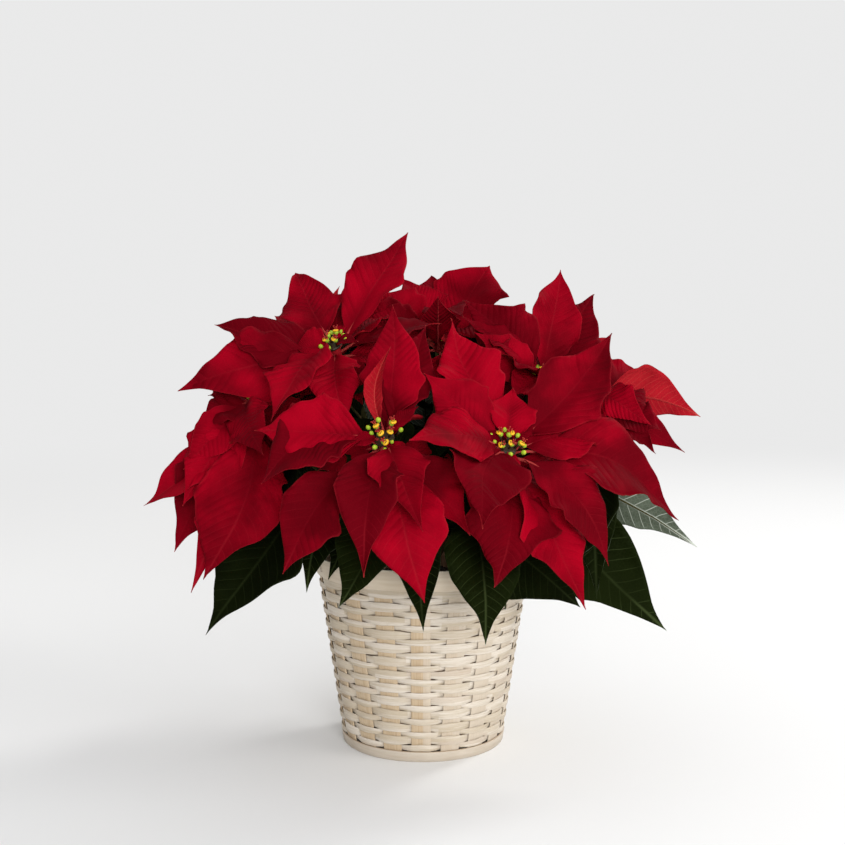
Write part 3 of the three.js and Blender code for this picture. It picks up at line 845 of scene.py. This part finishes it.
        # Painted shade: leaves marked shaded get no pale underside, both faces taking the dark top
        # colour, as they lie deep in the plant's shade.
        dull = [float("turned" in shape), float("turned" not in shape and "shaded" not in shape)]
        self.add(np.vstack([top, low]), faces, np.vstack([flat, flat]), tone=tone,
                 edge=np.tile(rim, 2), under=np.repeat(dull, n))

        stalk = np.array([0.0, 0.035, 0.07])
        bend = arch * np.sin(math.pi * stalk ** 0.8)
        line = base + np.outer(stalk * length, along) + np.outer(bend, face)
        line = line + np.outer(sweep * np.sin(math.pi * stalk), side)
        run = np.concatenate([stalk, t[:-2, 0]])
        radius = stalk_radius * (1 - np.clip((run - 0.08) / 0.85, 0, 1)) ** 0.8 * 0.85 + 0.2
        below = radius[3:, None] * np.clip((t[:-2] - blade_start) / 0.12, 0, 1) * 0.8
        line = np.vstack([line, grid[:-2, across // 2] - normal[:-2, across // 2] * below])
        self.tube(line, radius, 6, tone=tone, spans=run)

    def tube(self, line, radii, sides, tone=0.0, stalk=1.0, spans=None):
        """A closed round stem along a line of points in mm."""
        line = np.asarray(line, float)
        aims = np.gradient(line, axis=0)
        helper = np.eye(3)[np.argmin(np.abs(aims.sum(axis=0)))]
        turn = np.arange(sides) * math.tau / sides
        points = []
        for centre, aim, r in zip(line, aims, radii):
            first = unit(np.cross(aim, helper))
            second = unit(np.cross(aim, first))
            ring = np.outer(np.cos(turn), first) + np.outer(np.sin(turn), second)
            points.append(centre + ring * r)
        n = len(line)
        faces = [(i * sides + k, i * sides + (k + 1) % sides, (i + 1) * sides + (k + 1) % sides,
                  (i + 1) * sides + k) for i in range(n - 1) for k in range(sides)]
        faces += [tuple(range(sides - 1, -1, -1)), tuple((n - 1) * sides + k for k in range(sides))]
        spans = np.linspace(0, 1, n) if spans is None else spans
        uv = np.column_stack([np.repeat(spans, sides), np.full(n * sides, 0.5)])
        self.add(np.vstack(points), faces, uv, tone=tone, stalk=stalk)

    def build(self, name, material):
        piece = mesh_object(name, np.vstack(self.points), self.faces)
        mesh = piece.data
        corner = np.zeros(len(mesh.loops), int)
        mesh.loops.foreach_get("vertex_index", corner)
        mesh.uv_layers.new(name="leaf").data.foreach_set("uv", np.vstack(self.uv)[corner].ravel())
        for label, column in zip(self.traits, np.vstack(self.values).T):
            trait = mesh.attributes.new(label, "FLOAT", "POINT")
            trait.data.foreach_set("value", np.ascontiguousarray(column))
        mesh.materials.append(material)
        return piece


# ---------------------------------------------------------------- bracts
# Soft, velvety red bracts in a whorl under each cyathia cluster, broad in the middle and drawn
# out to a point, with fine sunken veins; the undersides are lighter and dull.
def leaf_finish(name, lamina, shade, vein, below, below_vein, stem, rim, roughness, pairs,
                vein_share, gloss, relief_mm):
    """A leaf's skin: a tone for each blade, a sunken rib, side veins, a net, a dull underside,
    painted shade at the base and along the rib, a painted highlight on the margin.
    """
    graph, shader, material = finish(name)
    u, v, _ = graph.parts(graph.value("ShaderNodeUVMap", {"uv_map": "leaf"}))
    tone, under, stalk, edge = (graph.label(trait) for trait in Sheets.traits)
    place = graph.place()
    off_rib = graph.maths("ABSOLUTE", v - 0.5)
    shift = graph.maths("SIGN", v - 0.5) * 0.25
    wobble = graph.noise(place, 55.0, 2.0) - 0.5
    run = (u - off_rib * 0.75 - off_rib * off_rib * 0.9 + wobble * 0.014) * pairs + shift
    to_vein = graph.maths("ABSOLUTE", graph.maths("FRACT", run) - 0.5)
    side_vein = graph.smooth(to_vein, 0.0, 0.06, 1.0, 0.0) * graph.smooth(edge, 0.7, 1.0, 1.0, 0.3)
    rib = graph.smooth(off_rib, 0.0, 0.012, 1.0, 0.0)
    net = graph.value("ShaderNodeTexVoronoi", {"feature": "DISTANCE_TO_EDGE"}, Vector=place,
                      Scale=360.0)
    veins = graph.maths("MAXIMUM", side_vein * 0.75, rib)
    veins = graph.maths("MAXIMUM", veins, graph.smooth(net, 0.0, 0.10, 1.0, 0.0) * 0.09)
    blotch = graph.noise(place, 26.0, 3.0)
    # Painted shade: toward the blade's base the colour is pulled to the dark shade colour.
    painted_base_shade = graph.smooth(u, 0.1, 0.4, 0.12, 0.0)
    share = graph.smooth(blotch * 1.1 + tone * 0.26 - 0.05 - painted_base_shade, 0.25, 0.8)
    shown = graph.smooth(graph.noise(place, 18.0, 2.0) + tone * 0.10, 0.40, 0.64, 0.25, 1.0)
    top = graph.mix(veins * vein_share * shown, graph.mix(share, shade, lamina), vein)
    back = graph.mix(veins * 0.85, graph.mix(share * 0.5, below, lamina), below_vein)
    # Painted shade: a dark band along the rib, strongest near the base, stands in for the shade in
    # the blade's fold.
    painted_valley_shade = graph.smooth(off_rib, 0.0, 0.10, 1.0, 0.0) * graph.smooth(u, 0.15, 0.75, 0.65, 0.15)
    top = graph.mix(painted_valley_shade, top, shade)
    colour = graph.mix(under, top, back)
    # Painted highlight: the outermost margin is pulled toward the lighter rim colour, as curled
    # edges catch the light.
    colour = graph.mix(graph.smooth(edge, 0.94, 1.0) * 0.25, colour, rim)
    colour = graph.mix(stalk * graph.smooth(u, 0.08, 0.40, 1.0, 0.35), colour, stem)
    patch = graph.smooth(graph.noise(place, 34.0, 1.0), 0.38, 0.62)
    pucker = graph.smooth(to_vein, 0.0, 0.5) ** 0.6 * patch
    nap = graph.noise(place, 1500.0, 1.0)
    crease = graph.noise(place, 85.0, 2.0)
    relief = pucker * 1.30 + crease * 2.1 + graph.smooth(net, 0.0, 0.3) * 0.10 - rib * 0.4
    height = relief * (1 - under * 2) + nap * 0.15
    surface(graph, shader, colour, roughness + blotch * 0.12, height, 0.6, relief_mm * MM)
    shader.inputs["Specular IOR Level"].default_value = gloss
    return material


# Beside a darker red of its own, the shade colour is the painted shade at the base and along the
# rib; the rim colour is a painted highlight on the margin.
bract_skin = leaf_finish(
    "bract_red", lamina=(0.268, 0.0, 0.008), shade=(0.095, 0.0, 0.003),
    vein=(0.31, 0.012, 0.020), below=(0.34, 0.010, 0.016), below_vein=(0.42, 0.05, 0.04),
    stem=(0.34, 0.04, 0.035), rim=(0.32, 0.014, 0.020), roughness=0.66, pairs=17.0,
    vein_share=0.30, gloss=0.02, relief_mm=0.75)
under_bracts, young_bracts = 4, 3
lowest_under_bract = 165
root_radius = hub_radius - 1.6
# Further bracts that close the gaps between heads, by the head that they spring from. Those given a
# low tone are painted dark as the shade between the heads.
covers = {
    1: [(-22, -15, 350, 46, 5, {}), (-100, -66, 326, 34, 5, dict(roll=-50)),
        (-65, -15, 367, 32, 2, {})],
    2: [(-120, -150, 270, 54, 8, dict(roll=-15))],
    3: [(64, -122, 300, 36, 3, {})],
    4: [(30, -62, 350, 34, 10, dict(roll=-20)), (66, -92, 290, 40, 8, {}), (88, 0, 338, 30, 4, {}),
        (38, -75, 338, 40, 6, dict(roll=-60))],
    5: [(178, -50, 266, 34, 12, dict(roll=60, over=True))],
    6: [(-168, -92, 268, 36, 8, dict(roll=-20, over=True)), (-84, -80, 258, 40, 4, dict(tone=-0.9)),
        (-150, -28, 295, 46, 4, dict(roll=20, tone=-0.6))],
    7: [(30, -40, 350, 36, 16, dict(over=True)), (-52, -8, 350, 44, 4, dict(roll=-65)),
        (-75, -4, 348, 50, 4, dict(roll=-65, tone=-0.5)),
        (-85, 0, 330, 46, 4, dict(roll=-65, tone=-0.8)), (-18, 40, 381, 46, 4, {})],
}

for number, head in enumerate(heads, 1):
    aim, hub = head_frame(head)
    whorl = Sheets()
    rows_here = head[2] + covers.get(number, [])
    for k, blade_row in enumerate(rows_here):
        lean = np.array(blade_row[:3], float) - hub
        lean = unit(lean - aim * (lean @ aim))
        step = (k + 0.5) / len(rows_here) - 0.5
        root = hub + lean * root_radius + aim * step * bract_spacing
        if "over" in blade_row[5]:
            root = hub - lean * (hub_radius - 1.0) + aim * 5.5
        whorl.blade(root, aim, blade_row, number * 100 + k)
    draw = np.random.RandomState(40 + number)
    for k in range(under_bracts + young_bracts):
        young = k >= under_bracts
        turn = draw.uniform(0, 0.7) + math.tau * k / (young_bracts if young else under_bracts)
        lean = around(aim, turn)
        reach, rise, wide = ((draw.uniform(24, 34), 10, 13) if young
                             else (draw.uniform(42, 54), -30, 36))
        tip = hub + lean * reach + aim * rise
        if tip[2] < lowest_under_bract:
            continue
        root = hub + lean * root_radius + aim * (4.5 if young else -5.5)
        whorl.blade(root, aim, (*tip, wide, 4, {}), 5000 + number * 20 + k, steps=20, across=10)
    hub_line = [hub + aim * s for s in np.linspace(-hub_length / 2, hub_length / 2, 7)]
    whorl.tube(hub_line, [3.2, 3.7, 4.1, 4.2, 4.1, 3.9, 3.0], 14, stalk=0.4)
    bracts = whorl.build(f"bract_whorl_{number}", bract_skin)
    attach(bracts, "root")
    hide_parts(f"bracts_{number}")


# ---------------------------------------------------------------- stems and green leaves
# One woody stem that forks low down into a branch for each head, with dark green leaves on long
# reddish stalks, paler and dull underneath; the leaves deep inside the plant have their undersides
# painted as dark as their tops, as painted shade.
trunk_foot, trunk_top = 98.0, 152.0
rim_leaves = [
    (5, 0.62, (-166, -90, 109, 72, 12, dict(roll=-45, sweep=4))),
    (0, 0.4, (-89, -110, 147, 50, 10, dict(roll=-30, sweep=-19))),
    (1, 0.6, (-60, -170, 150, 64, 10, dict(sweep=8))),
    (1, 0.5, (2, -165, 130, 42, 12, {})),
    (2, 0.6, (46, -170, 122, 58, 12, {})),
    (3, 0.45, (62, -122, 136, 40, 8, {})),
    (4, 0.5, (190, -62, 104, 76, 12, dict(roll=48, sweep=-2))),
    (4, 0.84, (134, -95, 140, 50, 6, dict(roll=48, stem=0.3, sweep=9))),
    (4, 0.7, (224, -20, 167, 48, 6, dict(roll=-75))),
    (4, 0.84, (52, -106, 131, 66, 8, dict(roll=40, sweep=50))),
]
inner_leaves = [
    (5, 0.5, (-160, 0, 170, 52, 12, {})),
    (7, 0.6, (-165, 100, 190, 50, 12, {})),
    (7, 0.5, (-110, 125, 145, 54, 14, {})),
    (8, 0.6, (-40, 190, 180, 54, 12, {})),
    (8, 0.5, (50, 170, 145, 54, 14, {})),
    (9, 0.6, (125, 140, 180, 54, 12, {})),
    (9, 0.5, (165, 75, 165, 50, 12, {})),
    (4, 0.5, (195, 30, 185, 50, 12, {})),
    (0, 0.7, (-120, -95, 240, 50, 8, {})),
    (5, 0.55, (-95, -120, 175, 54, 8, {})),
    (2, 0.72, (100, -140, 215, 50, 8, {})),
    (7, 0.62, (-70, -5, 290, 54, 6, dict(roll=-40))),
    (8, 0.62, (0, 25, 300, 54, 6, {})),
    (9, 0.62, (75, -5, 285, 54, 6, dict(roll=40))),
    (0, 0.86, (-58, -5, 352, 46, 5, dict(shaded=True))),
    (0, 0.80, (-108, -100, 268, 50, 6, dict(shaded=True))),
    (2, 0.80, (10, -120, 275, 46, 6, dict(shaded=True))),
    (3, 0.80, (80, -30, 305, 50, 6, dict(shaded=True))),
    (6, 0.85, (60, -5, 335, 50, 6, dict(shaded=True))),
    (1, 0.86, (-50, -165, 225, 50, 6, dict(shaded=True))),
    (1, 0.84, (20, -150, 240, 46, 6, dict(shaded=True))),
    (4, 0.86, (172, -40, 245, 46, 6, dict(shaded=True))),
    (5, 0.75, (-100, -110, 215, 54, 8, dict(shaded=True))),
    (3, 0.86, (80, -10, 345, 40, 5, dict(shaded=True))),
    (0, 0.75, (-128, -62, 276, 50, 6, dict(shaded=True))),
    (2, 0.55, (116, -122, 139, 77, 6, dict(roll=52))),
    (0, 0.45, (-72, -88, 152, 46, 8, dict(roll=-20, shaded=True))),
    (7, 0.7, (-70, 130, 225, 56, 8, dict(shaded=True))),
    (7, 0.6, (-135, 60, 215, 56, 8, dict(shaded=True))),
    (8, 0.7, (-30, 150, 225, 56, 8, dict(shaded=True))),
    (8, 0.7, (45, 150, 225, 56, 8, dict(shaded=True))),
    (9, 0.7, (120, 90, 225, 56, 8, dict(shaded=True))),
    (9, 0.6, (60, 125, 200, 56, 8, dict(shaded=True))),
]


def branch_points(head, count=41):
    """A branch's middle line, evenly stepped by length, from the stem's fork to the head."""
    aim, hub = head_frame(head)
    end = hub - aim * (hub_length / 2 + fit_gap)
    outward = unit([end[0], end[1], 0])
    start = np.array([0, 0, trunk_top - 14]) + outward * 2
    rise = start + np.array([0, 0, 30]) + outward * 12
    settle = end - aim * 45
    s = np.linspace(0, 1, 401)[:, None]
    curve = ((1 - s) ** 3 * start + 3 * (1 - s) ** 2 * s * rise
             + 3 * (1 - s) * s ** 2 * settle + s ** 3 * end)
    run = np.concatenate([[0], np.cumsum(np.linalg.norm(np.diff(curve, axis=0), axis=1))])
    even = np.linspace(0, run[-1], count)
    return np.column_stack([np.interp(even, run, curve[:, k]) for k in range(3)])


# Beside a darker green of its own, the shade colour is the painted shade at the base and along the
# rib; the rim colour is a painted highlight on the margin.
leaf_skin = leaf_finish(
    "leaf_green", lamina=(0.0065, 0.010, 0.0018), shade=(0.003, 0.0045, 0.001),
    vein=(0.048, 0.066, 0.022), below=(0.12, 0.145, 0.105), below_vein=(0.60, 0.64, 0.56),
    stem=(0.10, 0.07, 0.03), rim=(0.022, 0.032, 0.008), roughness=0.55, pairs=16.0,
    vein_share=0.75, gloss=0.008, relief_mm=0.5)
plant = Sheets()
fork = [np.array([0, 0, z]) for z in np.linspace(trunk_foot, trunk_top, 12)]
plant.tube(fork, [8.0 - k / 11 + 0.35 * math.sin(k * 2.3) for k in range(12)], 20, stalk=0.6)
for head in heads:
    swell = [3.6 - 0.8 * k / 40 + (0.5 if k % 9 == 4 else 0) for k in range(41)]
    plant.tube(branch_points(head), swell, 10, stalk=0.7)


def on_branch(branch, share):
    """The point at this share of a branch's length."""
    return branch_points(heads[branch], 201)[int(round(share * 200))]


def leaf(branch, share, row, seed, **detail):
    """A green leaf whose stalk springs from a branch at this share of its length."""
    root = on_branch(branch, share)
    facing = unit([*(unit([row[0], row[1], 0.0])[:2]), 0.8])
    plant.blade(root, facing, row, seed, stalk_radius=1.3, **detail)


shaded_detail = {"steps": 24, "across": 10}
filler_detail = {"steps": 14, "across": 6}
lowest_filler = 175
for k, (branch, share, leaf_row) in enumerate(rim_leaves + inner_leaves):
    detail = shaded_detail if "shaded" in leaf_row[5] else {}
    leaf(branch, share, leaf_row, 3000 + k, wild=0.7, **detail)

# Small dark leaves close under each head, their undersides painted as dark as their tops for the
# shade.
leaves_a_head = 7
filler_draw = np.random.RandomState(8)
for k in range(len(heads) * leaves_a_head):
    branch = k % len(heads)
    aim, hub = head_frame(heads[branch])
    turn = math.tau * (k // len(heads)) / leaves_a_head + filler_draw.uniform(0, 0.6)
    lean = around(aim, turn)
    tip = hub + lean * filler_draw.uniform(44, 60) - aim * filler_draw.uniform(18, 30)
    if tip[2] > lowest_filler:
        share = filler_draw.uniform(0.84, 0.93)
        leaf(branch, share, (*tip, 42, 6, dict(shaded=True)), 6000 + k, **filler_detail)

# Leaves along the branches that fill the shade inside the plant, their undersides painted as dark
# as their tops.
for k in range(80):
    branch = k % len(heads)
    share = 0.35 + 0.05 * (k // len(heads)) + filler_draw.uniform(-0.04, 0.04)
    root = on_branch(branch, share)
    turn = math.atan2(root[1], root[0]) + filler_draw.uniform(-1.3, 1.3)
    reach = filler_draw.uniform(52, 78)
    tip = root + np.array([math.cos(turn) * reach, math.sin(turn) * reach,
                           filler_draw.uniform(-14, 38)])
    bound = ((tip[0] - 5) / 185) ** 2 + (tip[1] / 170) ** 2 + ((tip[2] - 190) / 165) ** 2
    if bound < 0.86 and tip[2] > lowest_filler:
        width = filler_draw.uniform(42, 56)
        leaf(branch, share, (*tip, width, 9, dict(shaded=True)), 7000 + k, **filler_detail)
greenery = plant.build("stems_and_leaves", leaf_skin)
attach(greenery, "root")
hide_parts("leafy_stems")


# ---------------------------------------------------------------- cyathia
# The true flowers: small green cups at the middle of each head, the inner ones open with a yellow
# two-lipped gland and red stamens, on short stalks from a low dome. The stalks, the glands' slits
# and the dome are near black: painted shade under and inside the cups, the stalks partly their own
# dark green.
def cup_pattern(name, opened):
    """A cup as a small mesh whose 'part' is 0 on the cup, 1 on its gland, 2 on its stamens and
    3 on its stalk and the gland's slit."""
    work = bmesh.new()
    part = work.verts.layers.float.new("part")

    def mark(made, value):
        for vert in made["verts"]:
            vert[part] = value

    def ball(centre, radii, value, fine=10):
        shape = Matrix.Translation(centre) @ Matrix.Diagonal((*radii, 1))
        mark(bmesh.ops.create_uvsphere(work, u_segments=fine, v_segments=fine - 2, radius=1,
                                       matrix=shape), value)

    ball((0, 0, 2.7), (0.84, 0.84, 0.98), 0.0, 12)
    mark(bmesh.ops.create_cone(work, segments=8, radius1=0.36, radius2=0.40, depth=2.8,
                               cap_ends=True, matrix=Matrix.Translation((0, 0, 0.8))), 3.0)
    if opened:
        ball((0.70, 0, 3.45), (0.74, 1.04, 0.42), 1.0, 12)
        # The gland's slit takes part 3, painted near black as the shade in its opening.
        ball((0.74, 0, 3.80), (0.13, 0.62, 0.12), 3.0)
        ball((-0.35, 0.1, 3.5), (0.40, 0.46, 0.40), 2.0)
    else:
        ball((0.1, 0, 3.55), (0.24, 0.24, 0.16), 1.2, 8)
    for k in range(5 if opened else 0):
        angle = k * 1.26 + 0.4
        tip = Vector((math.cos(angle) * 0.65 - 0.2, math.sin(angle) * 0.65,
                      4.5 + 0.4 * math.sin(k * 2.1)))
        foot = Vector((math.cos(angle) * 0.25 - 0.2, math.sin(angle) * 0.25, 3.4))
        turned_to = (tip - foot).to_track_quat("Z", "Y").to_matrix().to_4x4()
        mark(bmesh.ops.create_cone(work, segments=5, radius1=0.13, radius2=0.11, cap_ends=True,
                                   depth=(tip - foot).length,
                                   matrix=Matrix.Translation((tip + foot) / 2) @ turned_to), 2.0)
        mark(bmesh.ops.create_icosphere(work, subdivisions=1, radius=0.26,
                                        matrix=Matrix.Translation(tip)), 1.6)

    def from_lowest(face):
        corners = [vert.index for vert in face.verts]
        first = corners.index(min(corners))
        return corners[first:] + corners[:first]

    # The faces are put in the order of their corners, so the mesh is the same each time.
    work.verts.index_update()
    points = [tuple(vert.co) for vert in work.verts]
    parts = [vert[part] for vert in work.verts]
    faces = sorted(from_lowest(face) for face in work.faces)
    work.free()
    pattern = mesh_object(name, points, faces)
    pattern.data.attributes.new("part", "FLOAT", "POINT").data.foreach_set("value", parts)
    return pattern


graph, shader, cup_skin = finish("cyathium_skin")
part = graph.label("part")
whim = graph.label("whim")
mottle = graph.noise(graph.place(), 520.0, 2.0)
green = graph.mix(mottle * 0.6 + whim * 0.4, (0.20, 0.33, 0.015), (0.40, 0.54, 0.035))
yellow = graph.mix(mottle, (0.62, 0.29, 0.008), (0.80, 0.48, 0.015))
crimson = graph.mix(mottle, (0.22, 0.005, 0.01), (0.45, 0.04, 0.02))
# Painted shade: the near black for part 3, on the stalks, the glands' slits and the dome under the
# cups.
dark_stalk_and_shade = graph.mix(mottle, (0.012, 0.016, 0.003), (0.04, 0.012, 0.006))
colour = graph.mix(graph.smooth(part, 0.4, 0.6), green, yellow)
colour = graph.mix(graph.smooth(part, 1.4, 1.6), colour, crimson)
colour = graph.mix(graph.smooth(part, 2.4, 2.6), colour, dark_stalk_and_shade)
surface(graph, shader, colour, 0.40 + mottle * 0.2, mottle, 0.3, 0.2 * MM)
shader.inputs["Specular IOR Level"].default_value = 0.25

patterns = {False: cup_pattern("bud_pattern", False), True: cup_pattern("open_pattern", True)}
cluster, size = form_tree("cyathia_cluster", [
    "Open cups", "Buds", "Spread", "Cup size", "Seed", "Seat x", "Seat y", "Seat z", "Aim x",
    "Aim y", "Aim z"])
total = size["Open cups"] + size["Buds"]
index = cluster.index()
dice = cluster.chance(cluster.value("FunctionNodeFloatToInt", s0=size["Seed"]))
golden_turn = 2.39996
share = ((index + 0.4) / total) ** 0.5
turn = index * golden_turn + size["Seed"] + dice * 0.5
reach = share * size["Spread"] * (0.85 + dice * 0.25)
spots = cluster.move(cluster.spots(total), cluster.polar(turn, reach, (1 - share * share) * 0.003))
lean = [cluster.maths(ratio, turn) * share * 0.8 for ratio in ("COSINE", "SINE")]
facing = cluster.value("FunctionNodeAlignRotationToVector", {"axis": "Z"},
                       Vector=cluster.vector(*lean, 1.0))
spin = cluster.value("FunctionNodeRotateRotation", {"rotation_space": "LOCAL"}, Rotation=facing,
                     Rotate_By=cluster.vector(0.0, 0.0, dice * 6.28))
placed = []
for opened, pattern in patterns.items():
    cup = cluster.value("GeometryNodeObjectInfo", {"transform_space": "ORIGINAL"}, "Geometry",
                        Object=pattern)
    which = {"operation": "LESS_THAN" if opened else "GREATER_EQUAL"}
    chosen = cluster.value("FunctionNodeCompare", which, A=index, B=size["Open cups"])
    big = size["Cup size"] * ((0.86 if opened else 0.74) + dice * 0.3)
    placed.append(cluster.value(
        "GeometryNodeInstanceOnPoints", Points=spots, Instance=cup, Selection=chosen,
        Rotation=spin, Scale=cluster.vector(big, big, big)))
dome = cluster.value("GeometryNodeMeshUVSphere", Segments=20, Rings=10,
                     Radius=size["Spread"] * 0.62)
# The low dome under the cups takes part 3, painted near black as the shade beneath the cups.
painted_shade_dome = cluster.store(dome, "part", 3.0, domain="POINT")
placed.append(cluster.value("GeometryNodeTransform", Geometry=painted_shade_dome, Scale=(1.0, 1.0, 0.36)))
both = cluster.node("GeometryNodeJoinGeometry")
for part_set in placed:
    cluster.tree.links.new(part_set.socket, both.inputs[0])
marked = cluster.store(both.outputs[0], "whim", dice)
aim_vector = cluster.vector(size["Aim x"], size["Aim y"], size["Aim z"])
faced = cluster.value("FunctionNodeAlignRotationToVector", {"axis": "Z"}, Vector=aim_vector)
real = cluster.value("GeometryNodeRealizeInstances", s0=marked)
seated = cluster.value("GeometryNodeTransform", Geometry=real, Rotation=faced,
                       Translation=cluster.vector(size["Seat x"], size["Seat y"], size["Seat z"]))
close_tree(cluster, seated, cup_skin)

small_heads = (5, 6)
for number, head in enumerate(heads, 1):
    aim, hub = head_frame(head)
    seat = (hub + aim * (hub_length / 2 - 0.5)) * MM
    small = number in small_heads
    open_cups, buds, cup_size, spread = (0, 5, 1.6, 5.0) if small else (5, 9, 2.2, 11.5)
    cups = grow(f"cyathia_cluster_{number}", cluster, {
        "Open cups": open_cups, "Buds": buds, "Cup size": cup_size * MM, "Spread": spread * MM,
        "Seed": number * 1.7, "Seat x": seat[0], "Seat y": seat[1], "Seat z": seat[2],
        "Aim x": aim[0], "Aim y": aim[1], "Aim z": aim[2]})
    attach(cups, "root")
    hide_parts(f"cyathia_{number}")
for pattern in patterns.values():
    bpy.data.objects.remove(pattern)
